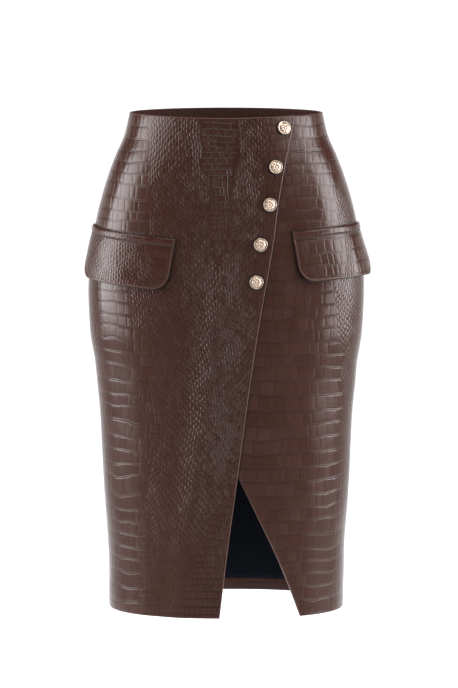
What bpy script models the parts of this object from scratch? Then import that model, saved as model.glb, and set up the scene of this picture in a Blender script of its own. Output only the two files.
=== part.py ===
"""A knee-length wrap pencil skirt in embossed imitation leather, filled out as when it is worn.

Metres, +Z up. The front faces -Y and the wearer's left is +X. The origin is at the middle of the waist.

The body that the skirt wraps is a stack of rings. A place on it is given by its girth, which is the
distance round the ring from centre front, positive towards +X, and by its drop, which is the distance
below the waist. Every piece of cloth is a closed wall: one skin of points on the body or moved out from
it, and one skin of the same points moved in by the thickness.
"""

import functools
import math
from collections import namedtuple

import bmesh
import bpy
import numpy as np
from mathutils import Matrix, Vector

# ---- driving dimensions -------------------------------------------------------------------------

LENGTH = 0.685  # waist to hem, down the side seam
FRONT_DIP = 0.0034  # the waist's edge lies this much lower at centre front
BACK_RISE = 0.0016  # and this much higher at centre back

CLOTH = 0.0015  # one layer of the outer cloth
SEAM_GAP = 0.0003  # between pieces that are sewn to each other
FOLD = 0.020  # width of the turned-in edge at the front's waist and down both front edges
HEM = 0.0145  # width of the turned-up hem
FOLD_STEP = 0.002  # over which a turned edge thins to one layer

UNDERLAP = 0.055  # how far the under front runs on below the wrap
LAP_GAP = 0.0005  # between the wrap's turned edge and the under front
LAP_RAMP = 0.030  # over which the wrap climbs onto the under front
LIFT = 2 * CLOTH + LAP_GAP  # of the wrap's outer skin where it lies on the under front

FACING_DEPTH = 0.045
FACING_CLOTH = 0.0012
LINING_CLOTH = 0.0010
LINING_GAP = 0.0005  # between the lining and the back's inner skin

FLAP_HEIGHT = 0.0705
FLAP_CORNER = 0.022  # radius of the rounded lower corners
FLAP_CLOTH = 0.0022  # two layers, turned and pressed
FLAP_GAP = 0.0009  # under the sewn top edge
FLAP_BAND = 0.0105  # from the top edge down to the row of stitches
FLAP_BAND_RISE = 0.0009
FLAP_GROOVE = 0.0004
FLAP_SPLAY = 0.012  # how much further out the inner end is at the bottom than at the top
FLAP_CURL = 1.2  # 1 opens the flap in a straight line below its band, and more than 1 curls it outwards

BUTTON_RADIUS = 0.0094
SHANK_RADIUS = 0.0030
BUTTON_SEGMENTS = 18

SHARP_EDGE = math.radians(40)  # edges that bend more are shaded sharp
WELD = 1e-6

# ---- short tables -------------------------------------------------------------------------------

Ring = namedtuple("Ring", "drop half_width front_depth back_depth squareness")
BODY = (
    Ring(0.000, 0.1325, 0.0960, 0.0980, 2.00),
    Ring(0.030, 0.1398, 0.1000, 0.1030, 2.15),
    Ring(0.060, 0.1526, 0.1040, 0.1100, 2.20),
    Ring(0.095, 0.1652, 0.1080, 0.1180, 2.25),
    Ring(0.140, 0.1775, 0.1110, 0.1260, 2.30),
    Ring(0.190, 0.1865, 0.1130, 0.1310, 2.32),
    Ring(0.245, 0.1905, 0.1150, 0.1310, 2.35),
    Ring(0.300, 0.1882, 0.1165, 0.1270, 2.35),
    Ring(0.350, 0.1809, 0.1170, 0.1220, 2.35),
    Ring(0.420, 0.1748, 0.1175, 0.1180, 2.38),
    Ring(0.520, 0.1698, 0.1180, 0.1160, 2.40),
    Ring(0.620, 0.1640, 0.1190, 0.1160, 2.40),
    Ring(LENGTH, 0.1630, 0.1200, 0.1165, 2.40),
)

Edge = namedtuple("Edge", "drop girth")
WRAP_EDGE = (  # the wrap's free edge, from the waist to the hem
    Edge(0.000, 0.0975),
    Edge(0.055, 0.0830),
    Edge(0.115, 0.0713),
    Edge(0.170, 0.0640),
    Edge(0.280, 0.0450),
    Edge(0.390, 0.0287),
    Edge(0.490, 0.0157),
    Edge(0.600, 0.0010),
    Edge(LENGTH, -0.0090),
)
SLIT_EDGE = (  # the under front's slanting edge, from the top of the slit to the hem
    Edge(0.490, 0.0160),
    Edge(0.550, 0.0448),
    Edge(0.610, 0.0735),
    Edge(LENGTH, 0.1041),
)
SLIT_TOP, SLIT_LOWER = SLIT_EDGE[:2]
SLIT_SLANT = (SLIT_LOWER.girth - SLIT_TOP.girth) / (SLIT_LOWER.drop - SLIT_TOP.drop)

Button = namedtuple("Button", "girth drop")
BUTTONS = (
    Button(0.0784, 0.0181),
    Button(0.0664, 0.0701),
    Button(0.0585, 0.1203),
    Button(0.0463, 0.1740),
    Button(0.0406, 0.2246),
)

# Named by the wearer's side, which is also the way from the inner end to the outer one: -1 is towards
# -X. The girth and drop are those of the inner top corner. The top edge rises towards the side seam by
# slant for each metre, and bow is how much of that slant is lost on the way. The lower edge stands off
# the front by flare, and by flare and side_flare at its outer end.
Flap = namedtuple("Flap", "name side girth drop width slant bow flare side_flare")
FLAPS = (
    Flap("flap_right", -1, 0.0681, 0.1668, 0.160, 0.085, 0.0, 0.0034, 0.0024),
    Flap("flap_left", 1, 0.0889, 0.1565, 0.146, 0.080, 1.0, 0.0040, 0.0048),
)

# A button's turned profile above the cloth: the distance from its axis, and the height.
Turned = namedtuple("Turned", "radius height")
BUTTON_PROFILE = (
    Turned(SHANK_RADIUS, 0.0),
    Turned(SHANK_RADIUS, 0.0010),
    Turned(BUTTON_RADIUS - 0.0010, 0.0013),
    Turned(BUTTON_RADIUS, 0.0021),
    Turned(BUTTON_RADIUS - 0.0006, 0.0030),
    Turned(BUTTON_RADIUS - 0.0020, 0.0034),
    Turned(BUTTON_RADIUS - 0.0032, 0.0031),
    Turned(0.0036, 0.0042),
    Turned(0.0014, 0.0049),
)

Finish = namedtuple("Finish", "name colour roughness metallic")
LEATHER = Finish("embossed_leather", (0.060, 0.026, 0.021), 0.42, 0.0)
LINING = Finish("black_lining", (0.006, 0.006, 0.008), 0.85, 0.0)
GOLD = Finish("pale_gold", (0.83, 0.66, 0.50), 0.24, 1.0)

# ---- how finely the cloth is divided ------------------------------------------------------------


def stations(*stretches):
    """Stations along a line from stretches of (start, end, steps), each starting where the last ends."""
    found = [stretches[0][0]]
    for start, end, steps in stretches:
        found += [start + (end - start) * k / steps for k in range(1, steps + 1)]
    return found


HIP_END = 0.302  # below it the rows lie further apart
UNDERLAP_END = 0.402  # where the under front's edge turns to run down to the slit
HEM_FOLD = LENGTH - HEM
ROWS = stations(
    (0.0, FOLD, 1),
    (FOLD, FOLD + FOLD_STEP, 1),
    (FOLD + FOLD_STEP, HIP_END, 10),
    (HIP_END, UNDERLAP_END, 3),
    (UNDERLAP_END, SLIT_TOP.drop, 2),
    (SLIT_TOP.drop, HEM_FOLD - FOLD_STEP, 4),
    (HEM_FOLD - FOLD_STEP, HEM_FOLD, 1),
    (HEM_FOLD, LENGTH, 1),
)
# Up to 1 these are shares of the way from the side seam to the turned edge, and past 1 metres into it.
FRONT_COLUMNS = stations(
    (0.0, 0.45, 11), (0.45, 1.0, 8), (1.0, 1.0 + FOLD_STEP, 1), (1.0 + FOLD_STEP, 1.0 + FOLD_STEP + FOLD, 1)
)
BACK_COLUMNS = stations((0.0, 0.32, 9), (0.32, 0.68, 6), (0.68, 1.0, 9))  # shares, seam to seam
FLAP_COLUMNS = stations((0.0, 1.0, 14))  # shares, inner end to outer end
CORNER_STEPS = 5
FLAP_ROWS = stations((0.0, FLAP_BAND, 4), (FLAP_BAND, FLAP_HEIGHT - FLAP_CORNER, 4)) + [
    FLAP_HEIGHT - FLAP_CORNER * (1 - math.sin(math.pi / 2 * k / CORNER_STEPS))
    for k in range(1, CORNER_STEPS + 1)
]

# ---- the body's surface -------------------------------------------------------------------------

RING_SAMPLES = 720  # of half a ring, for its girth
ANGLE_STEP = 0.002  # each way, for the surface's direction
DROP_STEP = 0.0005


def smoothstep(t):
    t = min(max(t, 0.0), 1.0)
    return t * t * (3 - 2 * t)


def between(start, end, share):
    return start + (end - start) * share


def smooth_column(rows, column, at):
    """The value of one column between the rows of a table, on a smooth curve with no overshoot."""
    xs = [row.drop for row in rows]
    ys = [getattr(row, column) for row in rows]
    at = min(max(at, xs[0]), xs[-1])
    slopes = [(y1 - y0) / (x1 - x0) for x0, x1, y0, y1 in zip(xs, xs[1:], ys, ys[1:])]
    tangents = [slopes[0]]
    for before, after in zip(slopes, slopes[1:]):
        tangents.append(2 * before * after / (before + after) if before * after > 0 else 0.0)
    tangents.append(slopes[-1])
    i = max(k for k in range(len(slopes)) if xs[k] <= at)
    width = xs[i + 1] - xs[i]
    t = (at - xs[i]) / width
    return (
        (1 + 2 * t) * (1 - t) ** 2 * ys[i]
        + t * (1 - t) ** 2 * width * tangents[i]
        + t * t * (3 - 2 * t) * ys[i + 1]
        + t * t * (t - 1) * width * tangents[i + 1]
    )


@functools.lru_cache(maxsize=None)
def ring_sizes(drop):
    """Half width, front depth, back depth and squareness of the ring at that drop."""
    return tuple(smooth_column(BODY, column, drop) for column in Ring._fields[1:])


def ring_xy(angle, drop):
    """The ring's point at that angle from centre front towards +X. The angle may be an array."""
    half_width, front_depth, back_depth, squareness = ring_sizes(drop)
    depth = np.where(np.cos(angle) > 0, front_depth, back_depth)
    power = np.abs(np.sin(angle) / half_width) ** squareness + np.abs(np.cos(angle) / depth) ** squareness
    radius = power ** (-1 / squareness)
    return radius * np.sin(angle), -radius * np.cos(angle)


@functools.lru_cache(maxsize=None)
def half_ring(drop):
    """Angles from centre front to centre back, and the girth at each."""
    angles = np.linspace(0, math.pi, RING_SAMPLES + 1)
    x, y = ring_xy(angles, drop)
    steps = np.hypot(np.diff(x), np.diff(y))
    return angles, np.concatenate([[0], np.cumsum(steps)])


def side_seam(drop):
    """The girth of the side seam, at the ring's widest point."""
    angles, girths = half_ring(drop)
    return float(np.interp(math.pi / 2, angles, girths))


def centre_back(drop):
    return float(half_ring(drop)[1][-1])


def on_body(girth, drop, out=0.0):
    """The point at that girth and drop, moved out from the body along its normal."""
    angles, girths = half_ring(drop)
    angle = math.copysign(float(np.interp(abs(girth), girths, angles)), girth)

    def point(turn, fall):
        x, y = ring_xy(angle + turn, drop + fall)
        return Vector((float(x), float(y), -drop - fall))

    around = point(ANGLE_STEP, 0) - point(-ANGLE_STEP, 0)
    down = point(0, DROP_STEP) - point(0, -DROP_STEP)
    return point(0, 0) + out * down.cross(around).normalized()


def trimmed(girth, row):
    """The drop of a row at that girth. The rows follow the waist's edge and level out towards the hem."""
    seam = side_seam(0.0)
    if abs(girth) < seam:
        waist = FRONT_DIP * math.cos(girth / seam * math.pi / 2) ** 2
    else:
        waist = -BACK_RISE * math.sin((abs(girth) - seam) / (centre_back(0.0) - seam) * math.pi / 2)
    return row + waist * (1 - row / LENGTH)


# ---- walls --------------------------------------------------------------------------------------


def add_object(name, bm, finish):
    """The mesh as an object with a material of its own."""
    bmesh.ops.recalc_face_normals(bm, faces=bm.faces)
    if bm.calc_volume(signed=True) < 0:
        bmesh.ops.reverse_faces(bm, faces=bm.faces)
    mesh = bpy.data.meshes.new(name)
    bm.to_mesh(mesh)
    bm.free()
    mesh.shade_smooth()
    mesh.set_sharp_from_angle(angle=SHARP_EDGE)
    made = bpy.data.materials.new(f"{name}_{finish.name}")
    made.use_nodes = True
    made.diffuse_color = (*finish.colour, 1.0)
    shader = made.node_tree.nodes["Principled BSDF"]
    shader.inputs["Base Color"].default_value = (*finish.colour, 1.0)
    shader.inputs["Roughness"].default_value = finish.roughness
    shader.inputs["Metallic"].default_value = finish.metallic
    mesh.materials.append(made)
    obj = bpy.data.objects.new(name, mesh)
    bpy.context.scene.collection.objects.link(obj)
    return obj


def wall(name, columns, rows, skins, finish):
    """A closed wall on a grid. skins(column, row) gives the outer and the inner point at a crossing."""
    bm = bmesh.new()
    bmesh.ops.create_grid(bm, x_segments=len(columns) - 1, y_segments=len(rows) - 1, size=1.0)
    doubled = bmesh.ops.extrude_face_region(bm, geom=bm.faces[:] + bm.edges[:], use_keep_orig=True)
    inner = {part for part in doubled["geom"] if isinstance(part, bmesh.types.BMVert)}
    for vert in bm.verts:
        column = columns[round((vert.co.x + 1) / 2 * (len(columns) - 1))]
        row = rows[round((vert.co.y + 1) / 2 * (len(rows) - 1))]
        outer_point, inner_point = skins(column, row)
        vert.co = inner_point if vert in inner else outer_point
    return add_object(name, bm, finish)


def turned_in(distance, width):
    """1 on a turned edge of that width and 0 past its step, by the distance from the edge."""
    return 1 - smoothstep((distance - width) / FOLD_STEP)


# ---- the fronts ---------------------------------------------------------------------------------


def wrap_edge(row):
    return smooth_column(WRAP_EDGE, "girth", row)


def wrap_lift(girth, row):
    """How far the wrap's outer skin stands off the body, on its way over the under front."""
    start = wrap_edge(row) - UNDERLAP - LAP_RAMP
    return LIFT * smoothstep((girth - start) / LAP_RAMP)


def under_edge(row):
    """The under front's edge: below the wrap and alongside its edge, then slanting away at the slit."""
    if row >= SLIT_TOP.drop:
        return smooth_column(SLIT_EDGE, "girth", row)
    slanting = SLIT_TOP.girth - SLIT_SLANT * (SLIT_TOP.drop - row)
    return max(slanting, wrap_edge(row) - UNDERLAP)


def make_front(name, side, edge_at, lift_at):
    """A front panel from the side seam on that side to its turned edge."""

    def skins(column, row):
        seam = side * (side_seam(row) - SEAM_GAP / 2)
        edge = edge_at(row)
        fold_line = edge + side * (FOLD + FOLD_STEP)
        girth = between(seam, fold_line, min(column, 1)) - side * max(column - 1, 0)
        drop = trimmed(girth, row)
        turned = max(turned_in(abs(edge - girth), FOLD), turned_in(row, FOLD), turned_in(LENGTH - row, HEM))
        outer = lift_at(girth, row)
        return on_body(girth, drop, outer), on_body(girth, drop, outer - CLOTH * (1 + turned))

    return wall(name, FRONT_COLUMNS, ROWS, skins, LEATHER)


# ---- the back and what is inside it -------------------------------------------------------------


def make_back_half(name, rows, outer_at, inner_at, finish):
    """A wall round the back from side seam to side seam, with its skins' places by row."""

    def skins(column, row):
        seam = side_seam(row) + SEAM_GAP / 2
        girth = between(seam, 2 * centre_back(row) - seam, column)
        if girth > centre_back(row):
            girth -= 2 * centre_back(row)
        drop = trimmed(girth, row)
        return on_body(girth, drop, outer_at(row)), on_body(girth, drop, inner_at(row))

    return wall(name, BACK_COLUMNS, rows, skins, finish)


def make_back():
    rows = sorted([FACING_DEPTH] + [row for row in ROWS if row != FOLD])
    return make_back_half(
        "back", rows, lambda row: 0.0, lambda row: -CLOTH * (1 + turned_in(LENGTH - row, HEM)), LEATHER
    )


def make_facing():
    """The strip of the outer cloth inside the back's waist."""
    outer = -CLOTH - SEAM_GAP
    rows = [0.0, FOLD + FOLD_STEP, FACING_DEPTH]
    return make_back_half(
        "waist_facing", rows, lambda row: outer, lambda row: outer - FACING_CLOTH, LEATHER
    )


def make_lining():
    """The lining of the back, from the facing down to the turned-up hem."""
    outer = -CLOTH - LINING_GAP
    top = FACING_DEPTH + SEAM_GAP
    bottom = HEM_FOLD - FOLD_STEP - SEAM_GAP
    rows = [top] + [row for row in ROWS if top + FOLD_STEP < row < bottom - FOLD_STEP] + [bottom]
    return make_back_half(
        "back_lining", rows, lambda row: outer, lambda row: outer - LINING_CLOTH, LINING
    )


# ---- flaps and buttons --------------------------------------------------------------------------


def corner_inset(down):
    """How far the rounded lower corners draw in the flap's ends."""
    below = max(down - (FLAP_HEIGHT - FLAP_CORNER), 0.0)
    return FLAP_CORNER - math.sqrt(max(FLAP_CORNER**2 - below**2, 0.0))


def flap_relief(down):
    """The puffed band above the row of stitches, and the groove that the stitches pull in below it."""
    if down < FLAP_BAND:
        return FLAP_BAND_RISE * math.sin(math.pi * down / FLAP_BAND)
    return -FLAP_GROOVE * (1 - smoothstep((down - FLAP_BAND) / FLAP_BAND))


def make_flap(flap):
    """A pocket flap, sewn on along its top edge and standing off the front below."""

    def skins(column, down):
        inset = corner_inset(down)
        along = between(inset, flap.width - inset, column)
        share = along / flap.width
        splay = FLAP_SPLAY * (1 - share) * down / FLAP_HEIGHT
        girth = flap.side * (flap.girth + along + splay)
        drop = flap.drop - along * flap.slant * (1 - flap.bow * share / 2) + down
        opening = max(down - FLAP_BAND, 0.0) / (FLAP_HEIGHT - FLAP_BAND)
        gap = FLAP_GAP + opening**FLAP_CURL * between(flap.flare, flap.flare + flap.side_flare, share)
        to_edge = min(along - inset, flap.width - inset - along, FLAP_HEIGHT - down)
        relief = flap_relief(down) * smoothstep(to_edge / FLAP_CLOTH)
        return on_body(girth, drop, gap + FLAP_CLOTH + relief), on_body(girth, drop, gap)

    return wall(flap.name, FLAP_COLUMNS, FLAP_ROWS, skins, LEATHER)


def make_button(name, button):
    """A turned metal button on its shank, square to the wrap."""
    lift = wrap_lift(button.girth, button.drop)
    seat = on_body(button.girth, button.drop, lift + SEAM_GAP)
    outward = (seat - on_body(button.girth, button.drop)).normalized()
    bm = bmesh.new()
    profile = [bm.verts.new((point.radius, 0, point.height)) for point in BUTTON_PROFILE]
    edges = [bm.edges.new(pair) for pair in zip(profile, profile[1:])]
    bmesh.ops.spin(
        bm, geom=profile + edges, axis=(0, 0, 1), angle=2 * math.pi, steps=BUTTON_SEGMENTS, use_merge=True
    )
    bmesh.ops.remove_doubles(bm, verts=bm.verts, dist=WELD)
    bmesh.ops.holes_fill(bm, edges=bm.edges[:], sides=BUTTON_SEGMENTS)
    obj = add_object(name, bm, GOLD)
    turn = Vector((0, 0, 1)).rotation_difference(outward).to_matrix().to_4x4()
    obj.matrix_world = Matrix.Translation(seat) @ turn
    return obj


def main():
    for obj in list(bpy.data.objects):
        bpy.data.objects.remove(obj)
    make_front("front_wrap", -1, wrap_edge, wrap_lift)
    make_front("front_under", 1, under_edge, lambda girth, row: 0.0)
    make_back()
    make_facing()
    make_lining()
    for flap in FLAPS:
        make_flap(flap)
    for number, button in enumerate(BUTTONS, start=1):
        make_button(f"button_{number}", button)


main()
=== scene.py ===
"""A knee-length wrap pencil skirt in embossed imitation leather, dressed on its packed frame.

Laid out as a Blender add-on and run as a script. Metres, +Z up, the front towards -Y, the wearer's left
towards +X. A place on the skirt is given by its girth, the distance round the body from centre front,
and its drop, the distance below the waist.
"""

import math
from collections import namedtuple

import bmesh
import bpy
import numpy as np
from bpy.props import FloatProperty, FloatVectorProperty, PointerProperty
from mathutils import Matrix, Vector


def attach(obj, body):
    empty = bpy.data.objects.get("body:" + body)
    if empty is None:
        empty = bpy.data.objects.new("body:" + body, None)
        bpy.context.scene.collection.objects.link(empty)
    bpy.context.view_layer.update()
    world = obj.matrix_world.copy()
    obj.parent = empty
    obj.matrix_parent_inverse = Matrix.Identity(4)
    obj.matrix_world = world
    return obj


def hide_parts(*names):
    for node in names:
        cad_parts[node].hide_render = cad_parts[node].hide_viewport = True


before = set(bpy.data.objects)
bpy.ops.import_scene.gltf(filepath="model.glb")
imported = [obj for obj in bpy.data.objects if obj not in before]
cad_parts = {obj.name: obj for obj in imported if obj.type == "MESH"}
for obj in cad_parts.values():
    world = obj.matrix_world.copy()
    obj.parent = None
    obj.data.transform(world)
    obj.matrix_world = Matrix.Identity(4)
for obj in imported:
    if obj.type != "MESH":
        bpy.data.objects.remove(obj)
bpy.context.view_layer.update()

bl_info = {
    "name": "Wrap Pencil Skirt",
    "version": (1, 0, 0),
    "blender": (4, 5, 0),
    "location": "3D View > Sidebar > Skirt",
    "description": "Dresses a wrap pencil skirt in embossed leather, with flaps, buttons and a lining",
    "category": "Add Mesh",
}

# ---- the skirt's own sizes, as its solids have them --------------------------------------------

LENGTH = 0.685
FRONT_DIP = 0.0034
BACK_RISE = 0.0016
CLOTH = 0.0015
SEAM_GAP = 0.0003
FOLD = 0.020
HEM = 0.0145
FOLD_STEP = 0.002
UNDERLAP = 0.055
LAP_GAP = 0.0005
LAP_RAMP = 0.030
LIFT = 2 * CLOTH + LAP_GAP
FACING_DEPTH = 0.045
FACING_CLOTH = 0.0012
LINING_CLOTH = 0.0010
LINING_GAP = 0.0005
FLAP_HEIGHT = 0.0705
FLAP_CORNER = 0.022
FLAP_CLOTH = 0.0022
FLAP_GAP = 0.0009
FLAP_BAND = 0.0105
FLAP_BAND_RISE = 0.0009
FLAP_GROOVE = 0.0004
FLAP_SPLAY = 0.012
FLAP_CURL = 1.2
FLAP_RIPPLE = 0.0022
FLAP_RIPPLE_SIZE = 0.024
BUTTON_RADIUS = 0.0094
SHANK_RADIUS = 0.0030

Ring = namedtuple("Ring", "drop half_width front_depth back_depth squareness")
BODY = (
    Ring(0.000, 0.1325, 0.0960, 0.0980, 2.00),
    Ring(0.030, 0.1398, 0.1000, 0.1030, 2.15),
    Ring(0.060, 0.1526, 0.1040, 0.1100, 2.20),
    Ring(0.095, 0.1652, 0.1080, 0.1180, 2.25),
    Ring(0.140, 0.1775, 0.1110, 0.1260, 2.30),
    Ring(0.190, 0.1865, 0.1130, 0.1310, 2.32),
    Ring(0.245, 0.1905, 0.1150, 0.1310, 2.35),
    Ring(0.300, 0.1882, 0.1165, 0.1270, 2.35),
    Ring(0.350, 0.1809, 0.1170, 0.1220, 2.35),
    Ring(0.420, 0.1748, 0.1175, 0.1180, 2.38),
    Ring(0.520, 0.1698, 0.1180, 0.1160, 2.40),
    Ring(0.620, 0.1640, 0.1190, 0.1160, 2.40),
    Ring(LENGTH, 0.1630, 0.1200, 0.1165, 2.40),
)

Edge = namedtuple("Edge", "drop girth")
WRAP_EDGE = (
    Edge(0.000, 0.0975),
    Edge(0.055, 0.0830),
    Edge(0.115, 0.0713),
    Edge(0.170, 0.0640),
    Edge(0.280, 0.0450),
    Edge(0.390, 0.0287),
    Edge(0.490, 0.0157),
    Edge(0.600, 0.0010),
    Edge(LENGTH, -0.0090),
)
SLIT_EDGE = (
    Edge(0.490, 0.0160),
    Edge(0.550, 0.0448),
    Edge(0.610, 0.0735),
    Edge(LENGTH, 0.1041),
)
SLIT_TOP, SLIT_LOWER = SLIT_EDGE[:2]
SLIT_SLANT = (SLIT_LOWER.girth - SLIT_TOP.girth) / (SLIT_LOWER.drop - SLIT_TOP.drop)

Button = namedtuple("Button", "girth drop")
BUTTONS = (
    Button(0.0784, 0.0181),
    Button(0.0664, 0.0701),
    Button(0.0585, 0.1203),
    Button(0.0463, 0.1740),
    Button(0.0406, 0.2246),
)

Flap = namedtuple("Flap", "name side girth drop width slant bow flare side_flare")
FLAPS = (
    Flap("flap_right", -1, 0.0681, 0.1668, 0.160, 0.085, 0.0, 0.0034, 0.0024),
    Flap("flap_left", 1, 0.0889, 0.1565, 0.146, 0.080, 1.0, 0.0040, 0.0048),
)

# ---- how the embossed grain is laid out ---------------------------------------------------------

# A strip of pebbles, or of fine scales, that runs down a panel, by its middle, half its width and how
# far it takes over from the large scales.
Strip = namedtuple("Strip", "drop girth half_width share")
# Where a panel's grain is pebbled or fine, and how much firmer it is over the middle of the front, to
# that far from centre front.
Zones = namedtuple("Zones", "pebbled fine firmer reach", defaults=((), (), 1.0, 0.1))
PLAIN_ZONES = Zones()
WRAP_PEBBLED = (
    (
        Strip(0.000, -0.072, 0.026, 1.0),
        Strip(0.130, -0.066, 0.034, 1.0),
        Strip(0.200, -0.062, 0.040, 1.0),
        Strip(0.260, -0.056, 0.070, 1.0),
        Strip(0.320, -0.040, 0.056, 1.0),
        Strip(0.400, -0.032, 0.044, 1.0),
        Strip(0.490, -0.046, 0.054, 0.9),
        Strip(0.560, -0.064, 0.036, 0.7),
        Strip(LENGTH, -0.090, 0.012, 0.3),
    ),
    (
        Strip(0.000, 0.036, 0.012, 0.7),
        Strip(0.130, 0.028, 0.016, 0.9),
        Strip(0.250, 0.010, 0.022, 1.0),
        Strip(0.360, 0.000, 0.026, 1.0),
        Strip(0.430, -0.008, 0.022, 1.0),
        Strip(0.500, -0.016, 0.012, 0.6),
        Strip(LENGTH, -0.030, 0.006, 0.0),
    ),
)
WRAP_FINE = (
    (
        Strip(0.000, -0.008, 0.062, 1.0),
        Strip(0.260, -0.012, 0.088, 1.0),
        Strip(0.400, -0.030, 0.078, 1.0),
        Strip(0.520, -0.040, 0.072, 1.0),
        Strip(LENGTH, -0.060, 0.050, 0.8),
    ),
)
WRAP_ZONES = Zones(WRAP_PEBBLED, WRAP_FINE, 2.6, 0.085)
UNDER_PEBBLED = (
    (
        Strip(0.000, 0.175, 0.010, 0.2),
        Strip(0.110, 0.178, 0.012, 0.6),
        Strip(0.140, 0.188, 0.018, 1.0),
        Strip(0.200, 0.195, 0.016, 0.8),
        Strip(0.250, 0.182, 0.018, 1.0),
        Strip(0.310, 0.188, 0.014, 0.7),
        Strip(0.420, 0.196, 0.012, 0.9),
        Strip(0.520, 0.205, 0.010, 0.6),
        Strip(LENGTH, 0.205, 0.010, 0.4),
    ),
)
UNDER_ZONES = Zones(UNDER_PEBBLED, (), 1.4, 0.130)
BACK_PEBBLED = (
    (
        Strip(0.000, 0.250, 0.022, 1.0),
        Strip(0.150, 0.290, 0.026, 1.0),
        Strip(0.300, 0.320, 0.024, 1.0),
        Strip(0.450, 0.290, 0.026, 0.9),
        Strip(LENGTH, 0.300, 0.020, 0.8),
    ),
    (
        Strip(0.000, 0.600, 0.020, 1.0),
        Strip(0.170, 0.680, 0.026, 1.0),
        Strip(0.320, 0.700, 0.024, 0.9),
        Strip(0.480, 0.650, 0.026, 1.0),
        Strip(LENGTH, 0.620, 0.022, 0.7),
    ),
)
BACK_FINE = (
    (
        Strip(0.000, 0.425, 0.150, 1.0),
        Strip(0.300, 0.505, 0.150, 1.0),
        Strip(LENGTH, 0.455, 0.120, 1.0),
    ),
)
BACK_ZONES = Zones(BACK_PEBBLED, BACK_FINE)
FACING_PEBBLED = (
    (
        Strip(0.000, 0.370, 0.130, 1.0),
        Strip(LENGTH, 0.370, 0.130, 1.0),
    ),
)
FACING_ZONES = Zones(FACING_PEBBLED)

# ---- sizes and colours that a user would change -------------------------------------------------


def length_property(name, description, default):
    return FloatProperty(name=name, description=description, default=default, unit="LENGTH", precision=5)


def share_property(name, description, default):
    return FloatProperty(name=name, description=description, default=default, subtype="FACTOR")


def colour_property(name, description, default):
    return FloatVectorProperty(
        name=name, description=description, default=default, size=3, subtype="COLOR", min=0.0, max=1.0
    )


def brightness_property(name, description, default):
    return FloatProperty(name=name, description=description, default=default, min=0.0)


class SkirtGrain(bpy.types.PropertyGroup):
    """Sizes of the embossed grain"""

    scale_width: length_property("Scale width", "Usual width of a large scale", 0.0140)
    scale_height: length_property("Scale height", "Height of a row of large scales", 0.0192)
    pebble_width: length_property("Pebble width", "Width of a small scale", 0.0044)
    pebble_height: length_property("Pebble height", "Height of a small scale", 0.0088)
    pebble_sway: length_property("Pebble sway", "How far the lines of small scales sway", 0.0026)
    crease_depth: length_property("Crease depth", "Depth of a crease between large scales", 0.00016)
    pebble_depth: length_property("Pebble depth", "Depth of a crease between small scales", 0.00016)
    puff: length_property("Puff", "How far the middle of a large scale rises", 0.00010)
    pebble_puff: length_property("Pebble puff", "How far the middle of a small scale rises", 0.00017)
    mesh_share: share_property("Mesh share", "Share of the grain's relief that the mesh carries", 0.45)
    wander: length_property("Wander", "How far the rows stray from level", 0.0036)


class SkirtSewing(bpy.types.PropertyGroup):
    """Sizes of the edges and stitches"""

    edge_roll: length_property("Edge roll", "Radius of a turned edge", 0.0014)
    seam_roll: length_property("Seam roll", "Radius of the cloth's edge at a side seam", 0.0010)
    stitch_length: length_property("Stitch length", "Length of one stitch", 0.0027)
    stitch_gap: length_property("Stitch gap", "Cloth left between two stitches", 0.0009)
    thread_radius: length_property("Thread radius", "Half the thickness of the thread", 0.00034)
    margin: length_property("Margin", "From a finished edge to its row of stitches", 0.0042)


class SkirtColours(bpy.types.PropertyGroup):
    """Colours of the finishes"""

    leather: colour_property("Leather", "The embossed leather", (0.0158, 0.0050, 0.0032))
    # Painted shade: this darker colour paints the creases, the flaps' outlines and the places beside edges
    # and buttons darker, where shade falls.
    leather_deep: colour_property("Leather in creases", "Dye in the creases", (0.006, 0.0024, 0.0018))
    # Painted highlight: besides tone and rubbing, this lighter colour paints glints on the grain's rises, a
    # highlight along rolled edges and light over the facing.
    leather_worn: colour_property("Leather at edges", "Rubbed edges and ridges", (0.080, 0.043, 0.037))
    backing: colour_property("Backing", "Woven back of the leather", (0.026, 0.017, 0.015))
    lining: colour_property("Lining", "Woven lining", (0.0014, 0.0017, 0.0028))
    gold: colour_property("Gold", "Raised parts of the buttons", (0.285, 0.22, 0.173))
    gold_deep: colour_property("Gold in recesses", "Recesses of the buttons", (0.085, 0.045, 0.028))
    thread: colour_property("Thread", "Sewing thread", (0.030, 0.012, 0.009))
    floor: colour_property("Floor", "The studio floor", (0.92, 0.92, 0.92))


class SkirtStudio(bpy.types.PropertyGroup):
    """The camera and the lights"""

    distance: length_property("Camera distance", "From the camera to the skirt", 5.3)
    lens: FloatProperty(name="Lens", description="Focal length in millimetres", default=200.2, unit="CAMERA")
    floor_drop: length_property("Floor drop", "From the waist down to the floor", 1.14)
    light_distance: length_property("Light distance", "From the skirt to the side lights", 2.4)
    side_light: brightness_property("Side lights", "Brightness of the tall side softboxes", 25.0)
    low_light: brightness_property("Low lights", "Brightness of the low side softboxes", 1.35)
    high_light: brightness_property("High lights", "Brightness of the high side softboxes", 10.0)
    near_light: brightness_property("Near lights", "Brightness of the small front softboxes", 16.0)
    fill_light: brightness_property("Fill light", "Brightness of the fill light on the right", 2.5)
    overhead: brightness_property("Overhead light", "Strength of the broad overhead light", 3.8)
    sky: share_property("Sky", "Strength of the even light all round", 0.08)


# ---- the body's surface -------------------------------------------------------------------------

ANGLE_STEP = 0.002
DROP_STEP = 0.0005
TABLE_ROWS = 275
TABLE_COLUMNS = 721
RUMPLE = 0.00045  # how far the worn cloth rises and dips
RUMPLE_SIZE = 0.042


def smoothstep(t):
    t = np.clip(t, 0.0, 1.0)
    return t * t * (3 - 2 * t)


def between(start, end, share):
    return start + (end - start) * share


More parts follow.
